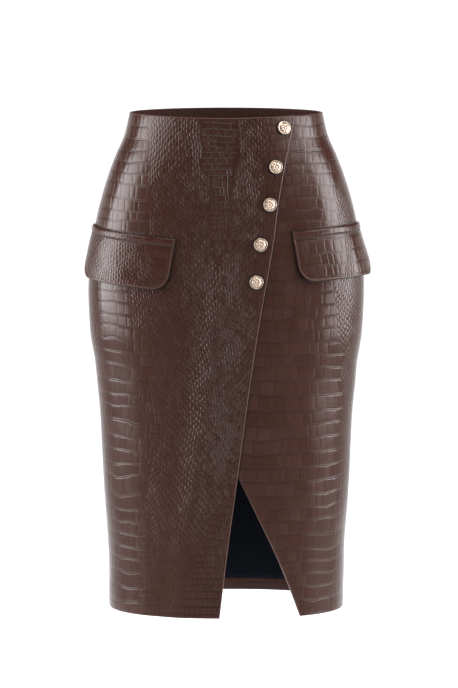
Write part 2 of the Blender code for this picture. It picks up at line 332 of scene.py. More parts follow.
def smooth_column(rows, column, at):
    """The values of one column between the rows of a table, on a smooth curve with no overshoot."""
    xs = np.array([row.drop for row in rows])
    ys = np.array([getattr(row, column) for row in rows])
    widths = np.diff(xs)
    slopes = np.diff(ys) / widths
    before, after = slopes[:-1], slopes[1:]
    same_way = before * after > 0
    mean = 2 * before * after / np.where(same_way, before + after, 1.0)
    tangents = np.concatenate([slopes[:1], np.where(same_way, mean, 0.0), slopes[-1:]])
    at = np.clip(at, xs[0], xs[-1])
    i = np.clip(np.searchsorted(xs, at, side="right") - 1, 0, len(slopes) - 1)
    t = (at - xs[i]) / widths[i]
    return (
        (1 + 2 * t) * (1 - t) ** 2 * ys[i]
        + t * (1 - t) ** 2 * widths[i] * tangents[i]
        + t * t * (3 - 2 * t) * ys[i + 1]
        + t * t * (t - 1) * widths[i] * tangents[i + 1]
    )


def ring_xy(angle, drop):
    """The ring's point at that angle from centre front towards +X."""
    half_width, front_depth, back_depth, squareness = (
        smooth_column(BODY, column, drop) for column in Ring._fields[1:]
    )
    depth = np.where(np.cos(angle) > 0, front_depth, back_depth)
    power = np.abs(np.sin(angle) / half_width) ** squareness + np.abs(np.cos(angle) / depth) ** squareness
    radius = power ** (-1 / squareness)
    return radius * np.sin(angle), -radius * np.cos(angle)


def girth_tables():
    """For rings all down the body: the girth at each angle, and the angle at each share of half the ring."""
    drops = np.linspace(0.0, LENGTH, TABLE_ROWS)
    angles = np.linspace(0.0, math.pi, TABLE_COLUMNS)
    x, y = ring_xy(angles[None, :], drops[:, None])
    steps = np.hypot(np.diff(x, axis=1), np.diff(y, axis=1))
    girths = np.concatenate([np.zeros((TABLE_ROWS, 1)), np.cumsum(steps, axis=1)], axis=1)
    shares = np.linspace(0.0, 1.0, TABLE_COLUMNS)
    turned = np.array([np.interp(shares * row[-1], row, angles) for row in girths])
    return drops, girths, turned


DROPS, GIRTHS, ANGLES = girth_tables()


def side_seam(drop):
    """The girth of the side seam, at the ring's widest point."""
    return np.interp(drop, DROPS, GIRTHS[:, TABLE_COLUMNS // 2])


def centre_back(drop):
    return np.interp(drop, DROPS, GIRTHS[:, -1])


def angle_at(girth, drop):
    column = np.clip(np.abs(girth) / centre_back(drop), 0, 1) * (TABLE_COLUMNS - 1)
    row = np.clip(drop / LENGTH, 0, 1) * (TABLE_ROWS - 1)
    left = np.minimum(column.astype(int), TABLE_COLUMNS - 2)
    upper = np.minimum(row.astype(int), TABLE_ROWS - 2)
    across = column - left
    above = between(ANGLES[upper, left], ANGLES[upper, left + 1], across)
    below = between(ANGLES[upper + 1, left], ANGLES[upper + 1, left + 1], across)
    return np.copysign(between(above, below, row - upper), girth)


def on_body(girth, drop, out=0.0):
    """Points at those girths and drops, moved out from the body along its normal, as rows of x, y, z."""
    girth, drop = np.broadcast_arrays(np.asarray(girth, float), np.asarray(drop, float))
    angle = angle_at(girth, drop)

    def point(turn, fall):
        x, y = ring_xy(angle + turn, drop + fall)
        return np.stack([x, y, -drop - fall], axis=-1)

    base = point(0, 0)
    out = out + RUMPLE * drift(base[..., 0] + 0.6 * base[..., 1], drop, RUMPLE_SIZE, RUMPLE_KEY)
    around = point(ANGLE_STEP, 0) - point(-ANGLE_STEP, 0)
    down = point(0, DROP_STEP) - point(0, -DROP_STEP)
    normal = np.cross(down, around)
    normal /= np.linalg.norm(normal, axis=-1, keepdims=True)
    return base + out[..., None] * normal


def trimmed(girth, row):
    """The drop of a row at that girth. The rows follow the waist's edge and level out towards the hem."""
    seam = side_seam(0.0)
    past = (np.abs(girth) - seam) / (centre_back(0.0) - seam)
    front = FRONT_DIP * np.cos(np.clip(girth / seam, -1, 1) * math.pi / 2) ** 2
    waist = np.where(np.abs(girth) < seam, front, -BACK_RISE * np.sin(past * math.pi / 2))
    return row + waist * (1 - row / LENGTH)


def wrap_edge(row):
    return smooth_column(WRAP_EDGE, "girth", row)


def wrap_lift(girth, row):
    """How far the wrap's outer skin stands off the body, on its way over the under front."""
    start = wrap_edge(row) - UNDERLAP - LAP_RAMP
    return LIFT * smoothstep((girth - start) / LAP_RAMP)


def under_edge(row):
    """The under front's edge: below the wrap and alongside its edge, then slanting away at the slit."""
    slanting = SLIT_TOP.girth - SLIT_SLANT * (SLIT_TOP.drop - row)
    hidden = np.maximum(slanting, wrap_edge(row) - UNDERLAP)
    return np.where(row >= SLIT_TOP.drop, smooth_column(SLIT_EDGE, "girth", row), hidden)


def turned_in(distance, width):
    """1 on a turned edge of that width and 0 past its step, by the distance from the edge."""
    return 1 - smoothstep((distance - width) / FOLD_STEP)


# ---- the embossed grain -------------------------------------------------------------------------

# Arithmetic that takes arrays, for the mesh, and shader values, for the material, so that one rule lays
# out the relief of both.

PAIR_WEIGHTS = (0.754878, 0.569840)  # weights that scatter pairs of whole numbers over 0 to 1
PAIR_GAIN = 83.0
SCATTER = (12.9898, 78.233, 37.719)  # the same for sets of keys, which the mesh alone uses
SCATTER_GAIN = 43758.5453


def whole(value):
    return value.math("FLOOR", value) if isinstance(value, Value) else np.floor(value)


def part(value):
    return value.math("FRACT", value) if isinstance(value, Value) else value - np.floor(value)


def size_of(value):
    return value.math("ABSOLUTE", value) if isinstance(value, Value) else np.abs(value)


def lesser(first, second):
    return first.math("MINIMUM", first, second) if isinstance(first, Value) else np.minimum(first, second)


def greater(first, second):
    return first.math("MAXIMUM", first, second) if isinstance(first, Value) else np.maximum(first, second)


def beyond(value, edge):
    """1 where the value is past the edge and 0 before it."""
    return value.math("GREATER_THAN", value, edge) if isinstance(value, Value) else (value > edge) * 1


def faded(value):
    """1 at zero, falling away to 0 as the value grows."""
    return value.math("EXPONENT", -value) if isinstance(value, Value) else np.exp(-value)


def scattered(first, second):
    """A number from 0 to 1 for each pair of whole numbers, with no visible order."""
    even = part(first * PAIR_WEIGHTS[0] + second * PAIR_WEIGHTS[1])
    return part(even * even * PAIR_GAIN)


def cosine(value):
    """The cosine of a number of whole turns."""
    turned = value * (2 * math.pi)
    return value.math("COSINE", turned) if isinstance(value, Value) else np.cos(turned)


# Where a place lies in its scale: how far from the row's edge or the pebble's side, and how far from the
# upright or the pebble's end, both in scales, and the scale's own tone.
Marks = namedtuple("Marks", "to_line to_cut tone")
CUT_WANDER = 0.56  # how unevenly the uprights are spaced, as a share of a large scale
STAGGER_KEY = 3.0
TONE_KEY = 0.5
ZIGZAG = 0.11  # how far the sides of the pebbles bulge, as a share of a pebble
PEBBLE_WANDER = 0.16  # how unevenly the pebbles' sides are spaced, as a share of a pebble


def large_marks(column, row):
    """Rows of large scales with staggered uprights, by places counted in scales."""
    line = whole(row)
    within = row - line
    shifted = column + scattered(line, STAGGER_KEY)
    base = whole(shifted)
    along = shifted - base
    before = (scattered(base, line) - 0.5) * CUT_WANDER
    after = (scattered(base + 1, line) - 0.5) * CUT_WANDER + 1
    to_cut = lesser(size_of(along - before), size_of(along - after))
    cell = base + beyond(along, before) + beyond(along, after)
    return Marks(lesser(within, 1 - within), to_cut, scattered(cell, line + TONE_KEY))


def pebble_marks(column, row):
    """Upright columns of pebbles, each column half a pebble lower than the last, their sides bulging."""
    side = whole(column + 0.5)
    turned = 1 - 4 * part(side * 0.5)
    past = column - side - turned * cosine(row) * ZIGZAG - (scattered(side, whole(row)) - 0.5) * PEBBLE_WANDER
    own = side + beyond(past, 0.0)
    along = row + part((own + 1) * 0.5)
    within = part(along)
    return Marks(size_of(past), lesser(within, 1 - within), scattered(own, whole(along)))


# How wide a crease is drawn, and how far from a row's edge the two lines lie that its crease has.
Creases = namedtuple("Creases", "twin width")
MESH_CREASES = Creases(0.0, 0.0013)
DRAWN_CREASES = Creases(0.0011, 0.00065)
DRAWN_DEPTH = 1.12  # how much deeper the material draws the relief than its sizes say
RIDGE_GLINT_PAINT = 140.0  # painted highlight: how much of the lighter colour is painted on for each metre that the grain rises, as glints on the rises
UPRIGHT_SHARE = 0.62  # how deep an upright crease is, for a row's crease
FINE_UPRIGHT_SHARE = 1.0
PEBBLE_END_SHARE = 0.6  # how deep the crease at a pebble's end is, for the one at its side
SCALE_SHOULDERS = (0.0030, 0.0022)  # over what distance a scale rises from its row's edge and its uprights
PEBBLE_SHOULDERS = (0.0012, 0.0014)  # the same from a pebble's sides and ends


def bell(distance, width):
    return faded(distance * distance * (1 / width**2))


def puffed(distances, shoulders):
    """How far a place has risen between the creases, from 0 to 1, by its distance from each."""
    first, second = (1 - faded(distance * (1 / reach)) for distance, reach in zip(distances, shoulders))
    return first * second


def scale_relief(marks, width, height, upright_share, creases, sizes):
    """The height of a field of scales, how deep in a crease a place is, and the tone of its scale."""
    row, upright = marks.to_line * height, marks.to_cut * width
    puff = puffed((row, upright), SCALE_SHOULDERS) * (0.5 + marks.tone) * sizes.puff
    groove = greater(bell(row - creases.twin, creases.width), bell(upright, creases.width) * upright_share)
    return puff - groove * sizes.crease_depth, groove, marks.tone


def pebble_relief(marks, creases, sizes):
    """The same of a field of pebbles."""
    side, end = marks.to_line * sizes.pebble_width, marks.to_cut * sizes.pebble_height
    puff = puffed((side, end), PEBBLE_SHOULDERS) * (0.6 + 0.8 * marks.tone) * sizes.pebble_puff
    groove = greater(bell(side, creases.width), bell(end, creases.width) * PEBBLE_END_SHARE)
    return puff - groove * sizes.pebble_depth, groove, marks.tone


def relief(grain, creases, sizes):
    """The height of the grain, how deep in a crease a place is, from 0 to 1, and the tone of its scale."""
    width, height = sizes.scale_width, sizes.scale_height
    single = Creases(0.0, creases.width)
    large_at = large_marks(grain.scale_column, grain.scale_row)
    fine_at = large_marks(grain.scale_column * 2, grain.scale_row * 2)
    pebble_at = pebble_marks(grain.pebble_column, grain.pebble_row)
    large = scale_relief(large_at, width, height, UPRIGHT_SHARE, creases, sizes)
    fine = scale_relief(fine_at, width / 2, height / 2, FINE_UPRIGHT_SHARE, single, sizes)
    pebbles = pebble_relief(pebble_at, creases, sizes)
    rise, groove, tone = (
        between(between(of_large, of_fine, grain.fine), of_pebble, grain.pebbled)
        for of_large, of_fine, of_pebble in zip(large, fine, pebbles)
    )
    return rise * grain.firmness, groove * grain.firmness, tone


def scatter(*keys):
    """A number from 0 to 1 for each set of keys, the same each time."""
    value = np.sin(sum(key * weight for key, weight in zip(keys, SCATTER))) * SCATTER_GAIN
    return value - np.floor(value)


def drift(u, v, size, key):
    """Smooth wandering between -1 and 1 over cells of that size."""
    column, row = u / size, v / size
    i, j = np.floor(column), np.floor(row)
    s, t = smoothstep(column - i), smoothstep(row - j)
    upper = between(scatter(i, j, key), scatter(i + 1, j, key), s)
    lower = between(scatter(i, j + 1, key), scatter(i + 1, j + 1, key), s)
    return 2 * between(upper, lower, t) - 1


# A drift that moves the grain: how much it counts, the size of its cells and its share of the key.
Wave = namedtuple("Wave", "weight size key")
ROW_WAVES = (Wave(1.0, 0.055, 0), Wave(0.45, 0.018, 2))
LEVEL_WAVES = (Wave(1.0, 0.031, 9),)  # these move whole rows up and down
COLUMN_WAVES = (Wave(0.6, 0.030, 1), Wave(0.3, 0.013, 8))
PEBBLE_ACROSS_WAVES = (Wave(1.0, 0.024, 3), Wave(0.5, 0.009, 5))
PEBBLE_DOWN_WAVES = (Wave(0.5, 0.020, 4), Wave(0.8, 0.010, 6))
FIRMNESS_WAVES = (Wave(0.22, 0.045, 7),)
STRIP_WAVES = (Wave(0.007, 0.022, 11),)
USUAL_FIRMNESS = 0.78
STRIP_FADE = 0.018  # over what distance a strip gives way to the scales beside it
# Keys that set the grain, the folds and the ripples of the pieces apart.
FINE_KEY = 20
BACK_KEY = 14.0
FACING_KEY = 21.0
LINING_KEY = 31.0
FLAP_KEY = 40.0
RUMPLE_KEY = 60.0
RIPPLE_KEY = 70.0


def swayed(u, v, key, waves):
    """The sum of the drifts that those waves name."""
    return sum(wave.weight * drift(u, v, wave.size, key + wave.key) for wave in waves)


def strip_share(u, v, strips, key):
    """How far the strips take over from the large scales at each place."""
    taken = np.zeros_like(u)
    for strip in strips:
        centre, half, share = (smooth_column(strip, column, v) for column in Strip._fields[1:])
        away = np.abs(u - centre) + swayed(u, v, key, STRIP_WAVES)
        here = share * (1 - smoothstep((away - half) / STRIP_FADE))
        taken = np.maximum(taken, here)
    return taken


GRAIN_FIELDS = ("scale_row", "scale_column", "pebble_column", "pebble_row", "pebbled", "fine", "firmness")
Grain = namedtuple("Grain", GRAIN_FIELDS)
NO_GRAIN = Grain(0.5, 0.5, 0.5, 0.5, 0.0, 0.0, 0.0)
CROWDING = 0.2  # how much closer the rows are, down to that drop
CROWDED_DROP = 0.30
PEBBLED_FROM = 0.25  # the share of a strip at which pebbles start to show
PEBBLED_WITHIN = 0.45
JOIN_FAINTNESS = 1.8  # how faint the grain is where pebbles and scales meet


def lay_grain(u, v, key, zones, sizes):
    """The grain at each place of a panel: its rows and columns counted in scales and in pebbles."""
    strays = swayed(u, v, key, ROW_WAVES) + swayed(0 * u, v, key, LEVEL_WAVES)
    row = v + CROWDING * np.minimum(v, CROWDED_DROP) + sizes.wander * strays
    column = u + sizes.wander * swayed(u, v, key, COLUMN_WAVES)
    lean = smooth_column(zones.pebbled[0], "girth", v) if zones.pebbled else 0.0
    pebble_across = u - lean + sizes.pebble_sway * swayed(u, v, key, PEBBLE_ACROSS_WAVES)
    pebble_down = v + sizes.pebble_sway * swayed(u, v, key, PEBBLE_DOWN_WAVES)
    pebbled = smoothstep((strip_share(u, v, zones.pebbled, key) - PEBBLED_FROM) / PEBBLED_WITHIN)
    faint = JOIN_FAINTNESS * pebbled * (1 - pebbled)
    firmness = (USUAL_FIRMNESS + swayed(u, v, key, FIRMNESS_WAVES)) * (1 - faint)
    return Grain(
        row / sizes.scale_height + key,
        column / sizes.scale_width,
        pebble_across / sizes.pebble_width,
        pebble_down / sizes.pebble_height,
        pebbled,
        strip_share(u, v, zones.fine, key + FINE_KEY),
        firmness * between(zones.firmer, 1.0, smoothstep(np.abs(u) / zones.reach)),
    )


def grain_height(grain, sizes):
    return relief(grain, MESH_CREASES, sizes)[0] * sizes.mesh_share


# ---- cloth --------------------------------------------------------------------------------------

WELD = 1e-6
GRAIN_FADE = 0.0035  # over what distance the grain fades out towards a turned edge
SEAM_FADE = 0.002  # the same towards a side seam
WORN_AND_LIT_REACH = 0.0022  # how far from a turned edge the leather is rubbed and painted paler, as a highlight of the rolled edge
END_STRIP = 0.002  # height of the first and last rows of the grid
STITCH_DIP = 0.00022  # how deep a row of stitches pulls in the leather
STITCH_DIP_WIDTH = 0.0009
SURFACE_FIELDS = (*GRAIN_FIELDS, "wear", "plain", "grime")
# A skin of the cloth at each place: its point, its place in the cloth, its grain, how rubbed it is and how
# much painted light it has, how plain it is, whether it shows the woven back, and how much painted shade and
# dirt lie on it.
Skin = namedtuple("Skin", "place u v grain wear plain back grime", defaults=(0.0,))


def stations(*stretches):
    """Stations along a line from stretches of (start, end, steps), each starting where the last ends."""
    found = [stretches[0][0]]
    for start, end, steps in stretches:
        found += [start + (end - start) * k / steps for k in range(1, steps + 1)]
    return found


def ridge_at(distance, line, width):
    """1 on a line at that distance, falling away to 0 on both sides of it."""
    return np.exp(-(((distance - line) / width) ** 2))


def roll(distance, radius):
    """How far a rounded edge falls away, by the distance from the edge."""
    inward = radius - np.clip(distance, 0, radius)
    return radius - np.sqrt(np.maximum(radius**2 - inward**2, 0))


def add_piece(name, mesh, materials, replaced):
    """The mesh as a finished piece that stands for the nodes named."""
    mesh.shade_smooth()
    for material in materials:
        mesh.materials.append(material)
    piece = bpy.data.objects.new(name, mesh)
    bpy.context.scene.collection.objects.link(piece)
    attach(piece, "root")
    if replaced:
        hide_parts(*replaced)
    return piece


def mesh_from(name, bm):
    mesh = bpy.data.meshes.new(name)
    bm.to_mesh(mesh)
    bm.free()
    return mesh


def cloth_wall(name, columns, rows, cuts, outer, inner):
    """A closed wall of cloth on a grid, its outer skin divided more finely than its inner one.

    outer and inner take arrays of columns and rows and give a Skin.
    """
    bm = bmesh.new()
    across, down = len(columns) - 1, len(rows) - 1
    bmesh.ops.create_grid(bm, x_segments=across, y_segments=down, size=1.0)
    spread = Matrix.Diagonal((across / 2, down / 2, 1, 1)) @ Matrix.Translation((1, 1, 0))
    bmesh.ops.transform(bm, matrix=spread, verts=bm.verts)
    doubled = bmesh.ops.extrude_face_region(bm, geom=bm.faces[:] + bm.edges[:], use_keep_orig=True)
    inner_verts = [found for found in doubled["geom"] if isinstance(found, bmesh.types.BMVert)]
    bmesh.ops.translate(bm, vec=(0, 0, 1), verts=inner_verts)
    bmesh.ops.recalc_face_normals(bm, faces=bm.faces)
    outer_edges = [edge for edge in bm.edges if max(vert.co.z for vert in edge.verts) < 0.5]
    bmesh.ops.subdivide_edges(bm, edges=outer_edges, cuts=cuts, use_grid_fill=True)

    flat = np.array([vert.co[:] for vert in bm.verts])
    column = np.interp(flat[:, 0], np.arange(len(columns)), columns)
    row = np.interp(flat[:, 1], np.arange(len(rows)), rows)
    inside = flat[:, 2] > 0.5
    places, cloth_uv, back = np.empty_like(flat), np.empty((len(flat), 2)), np.zeros(len(flat))
    values = {field: np.zeros(len(flat)) for field in SURFACE_FIELDS}
    for skin_at, chosen in ((outer, ~inside), (inner, inside)):
        skin = skin_at(column[chosen], row[chosen])
        places[chosen] = skin.place
        cloth_uv[chosen, 0], cloth_uv[chosen, 1], back[chosen] = skin.u, skin.v, skin.back
        for field, found in zip(SURFACE_FIELDS, (*skin.grain, skin.wear, skin.plain, skin.grime)):
            values[field][chosen] = found

    for vert, place in zip(bm.verts, places):
        vert.co = place
    if bm.calc_volume(signed=True) < 0:
        bmesh.ops.reverse_faces(bm, faces=bm.faces)
    mesh = mesh_from(name, bm)
    for field, found in values.items():
        mesh.attributes.new(field, "FLOAT", "POINT").data.foreach_set("value", found)
    corners = np.empty(len(mesh.loops), dtype=int)
    mesh.loops.foreach_get("vertex_index", corners)
    mesh.uv_layers.new(name="cloth").data.foreach_set("uv", cloth_uv[corners].ravel())
    starts = np.empty(len(mesh.polygons), dtype=int)
    mesh.polygons.foreach_get("loop_start", starts)
    woven = np.minimum.reduceat((back > 0.5)[corners], starts)
    mesh.polygons.foreach_set("material_index", woven.astype(int))
    return mesh


def flat_cut(width_at):
    """A panel's greatest width by its length, and its area, without its turnings."""
    rows = np.linspace(0.0, LENGTH, 200)
    widths = width_at(rows)
    return (float(widths.max()), LENGTH), float(np.mean(widths) * LENGTH)


FRONT_ROWS = stations(
    (0.0, END_STRIP, 1),
    (END_STRIP, FOLD, 2),
    (FOLD, FOLD + FOLD_STEP, 1),
    (FOLD + FOLD_STEP, LENGTH - HEM - FOLD_STEP, 66),
    (LENGTH - HEM - FOLD_STEP, LENGTH - HEM, 1),
    (LENGTH - HEM, LENGTH - END_STRIP, 2),
    (LENGTH - END_STRIP, LENGTH, 1),
)
EDGE_SHADE_REACH = 0.0022  # how far the painted shade and dirt reach beside an edge


def edge_shade(girth, drop, row, side):
    """How dark the painted shade is beside the wrap's edge, round the flaps and round the buttons: contact
    shadow painted in, with some dirt.
    """
    if side > 0:
        beside = girth - wrap_edge(row)
    else:
        beside = np.full_like(girth, 1.0)
        for button in BUTTONS:
            beside = np.minimum(beside, np.hypot(girth - button.girth, drop - button.drop) - BUTTON_RADIUS)
    for flap in FLAPS:
        if flap.side == side:
            beside = np.minimum(beside, beside_flap(flap, girth, drop))
    return ridge_at(np.maximum(beside, 0.0), 0.0, EDGE_SHADE_REACH)


def beside_flap(flap, girth, drop):
    """How far a place on a front is outside the flap's outline."""
    along = flap.side * girth - flap.girth
    down = drop - flap.drop + along * flap.slant * (1 - flap.bow * along / flap.width / 2)
    splay = FLAP_SPLAY * (1 - along / flap.width) * np.clip(down / FLAP_HEIGHT, 0, 1)
    across = np.maximum(-(along - splay), along - flap.width)
    below = np.maximum(-down, down - FLAP_HEIGHT)
    past_across, past_below = np.maximum(across + FLAP_CORNER, 0), np.maximum(below + FLAP_CORNER, 0)
    rounded = np.hypot(past_across, past_below) - FLAP_CORNER
    return np.where(down > FLAP_HEIGHT / 2, rounded, np.maximum(across, below))


EDGE_COLUMN = 0.008  # share of a front's width in the narrow column at each end
PANEL_CUTS = 5  # how many cuts divide each cell of a panel's outer skin
FACING_CUTS = 4
LINING_CUTS = 1
FLAP_CUTS = 6


def front_columns(steps):
    return stations((0.0, EDGE_COLUMN, 1), (EDGE_COLUMN, 1 - EDGE_COLUMN, steps), (1 - EDGE_COLUMN, 1.0, 1))


def flush(girth, row):
    return np.zeros_like(girth)


# A front panel: its piece and node, its side of the body, where its edge is and how far off the body it
# stands, its columns, and the key and zones of its grain.
Front = namedtuple("Front", "name node side edge_at lift_at steps key zones")
WRAP = Front("wrap_front", "front_wrap", -1, wrap_edge, wrap_lift, 30, 3.0, WRAP_ZONES)
UNDER = Front("under_front", "front_under", 1, under_edge, flush, 26, 8.0, UNDER_ZONES)


def make_front(front, materials, sizes, sewing):
    """A front panel from its side seam to its turned and stitched edge."""

    def place(column, row):
        """The girth, the drop, and the distances to the front edge and to the side seam."""
        seam = front.side * (side_seam(row) - SEAM_GAP / 2)
        edge = front.edge_at(row)
        girth = between(seam, edge, column)
        return girth, trimmed(girth, row), np.abs(edge - girth), np.abs(girth - seam)

    def outer(column, row):
        girth, drop, to_edge, to_seam = place(column, row)
        to_end = np.minimum(row, LENGTH - row)
        grain = lay_grain(girth, drop, front.key, front.zones, sizes)
        free = np.minimum(to_edge, to_end)
        fade = smoothstep(free / GRAIN_FADE) * smoothstep(to_seam / SEAM_FADE)
        stitched = STITCH_DIP * ridge_at(to_edge, sewing.margin, STITCH_DIP_WIDTH)
        fall = np.maximum(roll(to_edge, sewing.edge_roll), roll(to_end, sewing.edge_roll))
        fall = np.maximum(fall, roll(to_seam, sewing.seam_roll))
        out = front.lift_at(girth, row) + grain_height(grain, sizes) * fade - stitched - fall
        # Paler along the turned edges: rubbing, and a painted highlight of the rolled edge.
        wear = 1 - smoothstep(free / WORN_AND_LIT_REACH)
        # Painted shade beside the wrap's edge, the flaps and the buttons, with some dirt.
        grime = edge_shade(girth, drop, row, front.side)
        return Skin(on_body(girth, drop, out), girth, drop, grain, wear, 1 - fade, 0.0, grime)

    def inner(column, row):
        girth, drop, to_edge, _ = place(column, row)
        turned = np.maximum(turned_in(to_edge, FOLD), turned_in(row, FOLD))
        turned = np.maximum(turned, turned_in(LENGTH - row, HEM))
        out = front.lift_at(girth, row) - CLOTH * (1 + turned)
        grain = lay_grain(girth, drop, front.key + 1, PLAIN_ZONES, sizes)
        return Skin(on_body(girth, drop, out), girth, drop, grain, 0.0, 0.0, turned < 0.5)

    mesh = cloth_wall(front.name, front_columns(front.steps), FRONT_ROWS, PANEL_CUTS, outer, inner)
    return add_piece(front.name, mesh, materials, [front.node])


def make_round_back(name, node, grid, outer_at, inner_at, materials, slot):
    """A wall round the back from side seam to side seam, on a grid of columns, rows and cuts.

    outer_at and inner_at give the grain, how far out the skin is, its wear and painted light, how plain it
    is, and its back.
    """

    def skin_at(shape, column, row):
        seam = side_seam(row) + SEAM_GAP / 2
        round_back = between(seam, 2 * centre_back(row) - seam, column)
        girth = np.where(round_back > centre_back(row), round_back - 2 * centre_back(row), round_back)
        drop = trimmed(girth, row)
        to_seam = np.minimum(round_back - seam, 2 * centre_back(row) - seam - round_back)
        grain, out, wear, plain, back = shape(round_back, girth, drop, row, to_seam)
        return Skin(on_body(girth, drop, out), round_back, drop, grain, wear, plain, back)

    def outer(column, row):
        return skin_at(outer_at, column, row)

    def inner(column, row):
        return skin_at(inner_at, column, row)

    mesh = cloth_wall(name, *grid, outer, inner)
    return add_piece(name, mesh, materials, [node])


# ---- shaders ------------------------------------------------------------------------------------


class Value:
    """A number that a shader works out. Python's arithmetic on it adds Math nodes."""

    def __init__(self, shader, socket):
        self.shader = shader
        self.socket = socket

    def math(self, operation, *values):
        return self.shader.node("ShaderNodeMath", {"operation": operation}, dict(enumerate(values)))

    def __add__(self, other):
        return self.math("ADD", self, other)

    def __radd__(self, other):
        return self.math("ADD", other, self)

    def __sub__(self, other):
        return self.math("SUBTRACT", self, other)

    def __rsub__(self, other):
        return self.math("SUBTRACT", other, self)

    def __mul__(self, other):
        return self.math("MULTIPLY", self, other)

    def __rmul__(self, other):
        return self.math("MULTIPLY", other, self)

    def __truediv__(self, other):
        return self.math("DIVIDE", self, other)

    def __rtruediv__(self, other):
        return self.math("DIVIDE", other, self)

    def __neg__(self):
        return self.math("MULTIPLY", self, -1.0)

    def sine(self):
        return self.math("SINE", self)

    def clamped(self):
        """The value kept between 0 and 1."""
        return lesser(greater(self, 0.0), 1.0)


MIX_SHARE, MIX_FIRST, MIX_SECOND, MIX_COLOUR = 0, 6, 7, 2  # a Mix node's sockets when it mixes colours


class Shader:
    """One material and its nodes, ending in a Principled BSDF."""

    def __init__(self, name):
        self.material = bpy.data.materials.new(name)
        self.material.use_nodes = True
        self.tree = self.material.node_tree
        self.tree.nodes.clear()

    def node(self, kind, settings=None, sockets=None, output=0):
        """A node of that kind, with its settings made first and then its sockets' values or links."""
        node = self.tree.nodes.new(kind)
        for name, value in (settings or {}).items():
            setattr(node, name, value)
        for name, value in (sockets or {}).items():
            if isinstance(value, Value):
                self.tree.links.new(value.socket, node.inputs[name])
            else:
                node.inputs[name].default_value = value
        return Value(self, node.outputs[output] if node.outputs else None)

    def attribute(self, name):
        return self.node("ShaderNodeAttribute", {"attribute_name": name}, output="Fac")

    def uv(self, name):
        return self.node("ShaderNodeUVMap", {"uv_map": name})

    def object_place(self):
        return self.node("ShaderNodeTexCoord", output="Object")

    def stretched(self, vector, stretch):
        return self.node("ShaderNodeMapping", {}, {"Vector": vector, "Scale": stretch})

    def noise(self, vector, scale, detail=2.0, stretch=(1, 1, 1)):
        """Even noise from 0 to 1 with its cells about 1 / scale metres wide."""
        sockets = {"Vector": self.stretched(vector, stretch), "Scale": scale, "Detail": detail}
        return self.node("ShaderNodeTexNoise", {}, sockets, output="Fac")

    def cells(self, vector, scale, stretch=(1, 1, 1)):
        """Small cells, by the distance from the middle of each."""
        sockets = {"Vector": self.stretched(vector, stretch), "Scale": scale}
        return self.node("ShaderNodeTexVoronoi", {}, sockets, output="Distance")

    def mix(self, share, first, second):
        """Two colours mixed, by a share that is 0 for the first and 1 for the second."""
        settings = {"data_type": "RGBA", "clamp_factor": True}
        sockets = {MIX_SHARE: share, MIX_FIRST: opaque(first), MIX_SECOND: opaque(second)}
        return self.node("ShaderNodeMix", settings, sockets, output=MIX_COLOUR)

    def bump(self, height, distance, strength=1.0):
        sockets = {"Height": height, "Distance": distance, "Strength": strength}
        return self.node("ShaderNodeBump", {}, sockets)

    def finish(self, **sockets):
        """The finished material, from the sockets' names with underscores for their spaces."""
        named = {name.replace("_", " "): value for name, value in sockets.items()}
        surface = self.node("ShaderNodeBsdfPrincipled", {}, named)
        self.node("ShaderNodeOutputMaterial", {}, {"Surface": surface})
        return self.material


def opaque(colour):
    return colour if isinstance(colour, Value) else (*colour, 1.0)


WARM_SHEEN = (1.0, 0.88, 0.84)  # the tint of the leather's finish where it shines


def leather_material(name, colours, sizes):
    """Embossed imitation leather: pressed creases painted darker as shade, the grain's rises painted paler as
    glints, a fine pore, tone from scale to scale, rubbed edges also painted pale as their highlight, and
    painted shade beside edges and flaps.
    """
    shader = Shader(name)
    uv = shader.uv("cloth")
    fields = [shader.attribute(field) for field in GRAIN_FIELDS]
    height, pressed, tone = relief(Grain(*fields), DRAWN_CREASES, sizes)
    wear = shader.attribute("wear")
    shown = 1 - shader.attribute("plain")
    pressed = pressed * shown
    pores = shader.cells(uv, 1500.0, stretch=(1, 0.8, 1))
    cloudy = shader.noise(uv, 26.0, detail=3.0)
    mottled = shader.noise(uv, 190.0, detail=2.0)
    streaks = shader.noise(uv, 420.0, detail=1.0, stretch=(1, 0.25, 1))
    lightness = (0.25 * tone + 0.5 * (cloudy - 0.4) + 0.35 * (mottled - 0.5) + 0.15 * streaks).clamped()
    # Painted highlight: the grain's rises are painted paler, as glints.
    painted_glint = height * shown * RIDGE_GLINT_PAINT
    colour = shader.mix(lightness * 0.17 + painted_glint, colours.leather, colours.leather_worn)
    # Painted shade: the creases are painted darker.
    colour = shader.mix(pressed * 0.48, colour, colours.leather_deep)
    # Rubbed edges painted paler. This is also a painted highlight of the rolled edges, and painted light over
    # the facing.
    colour = shader.mix(wear * (0.20 + 0.5 * mottled), colour, colours.leather_worn)
    # Painted shade: darker beside the wrap's edge, round the flaps and buttons and on the flaps' outlines and
    # band, with some dirt.
    grime = shader.attribute("grime")
    colour = shader.mix(grime * 0.85, colour, colours.leather_deep)
    roughness = 0.14 + 0.07 * mottled + 0.04 * pressed + 0.06 * tone + 0.3 * grime + 0.25 * wear
    fine = 0.00002 * pores + 0.00004 * mottled + 0.00002 * streaks
    normal = shader.bump(height * shown * DRAWN_DEPTH + fine, 1.0)
    return shader.finish(
        Base_Color=colour,
        Roughness=roughness,
        Specular_IOR_Level=0.12,
        Specular_Tint=opaque(WARM_SHEEN),
        Normal=normal,
    )


# A woven cloth: the size of its threads, how rough it is, how many times lighter its lightest threads are
# than its darkest, and how much it shines.
Weave = namedtuple("Weave", "thread_size roughness lift shine")
BACKING_WEAVE = Weave(0.0011, 0.75, 2.2, 0.2)
LINING_WEAVE = Weave(0.0008, 0.7, 1.9, 0.03)


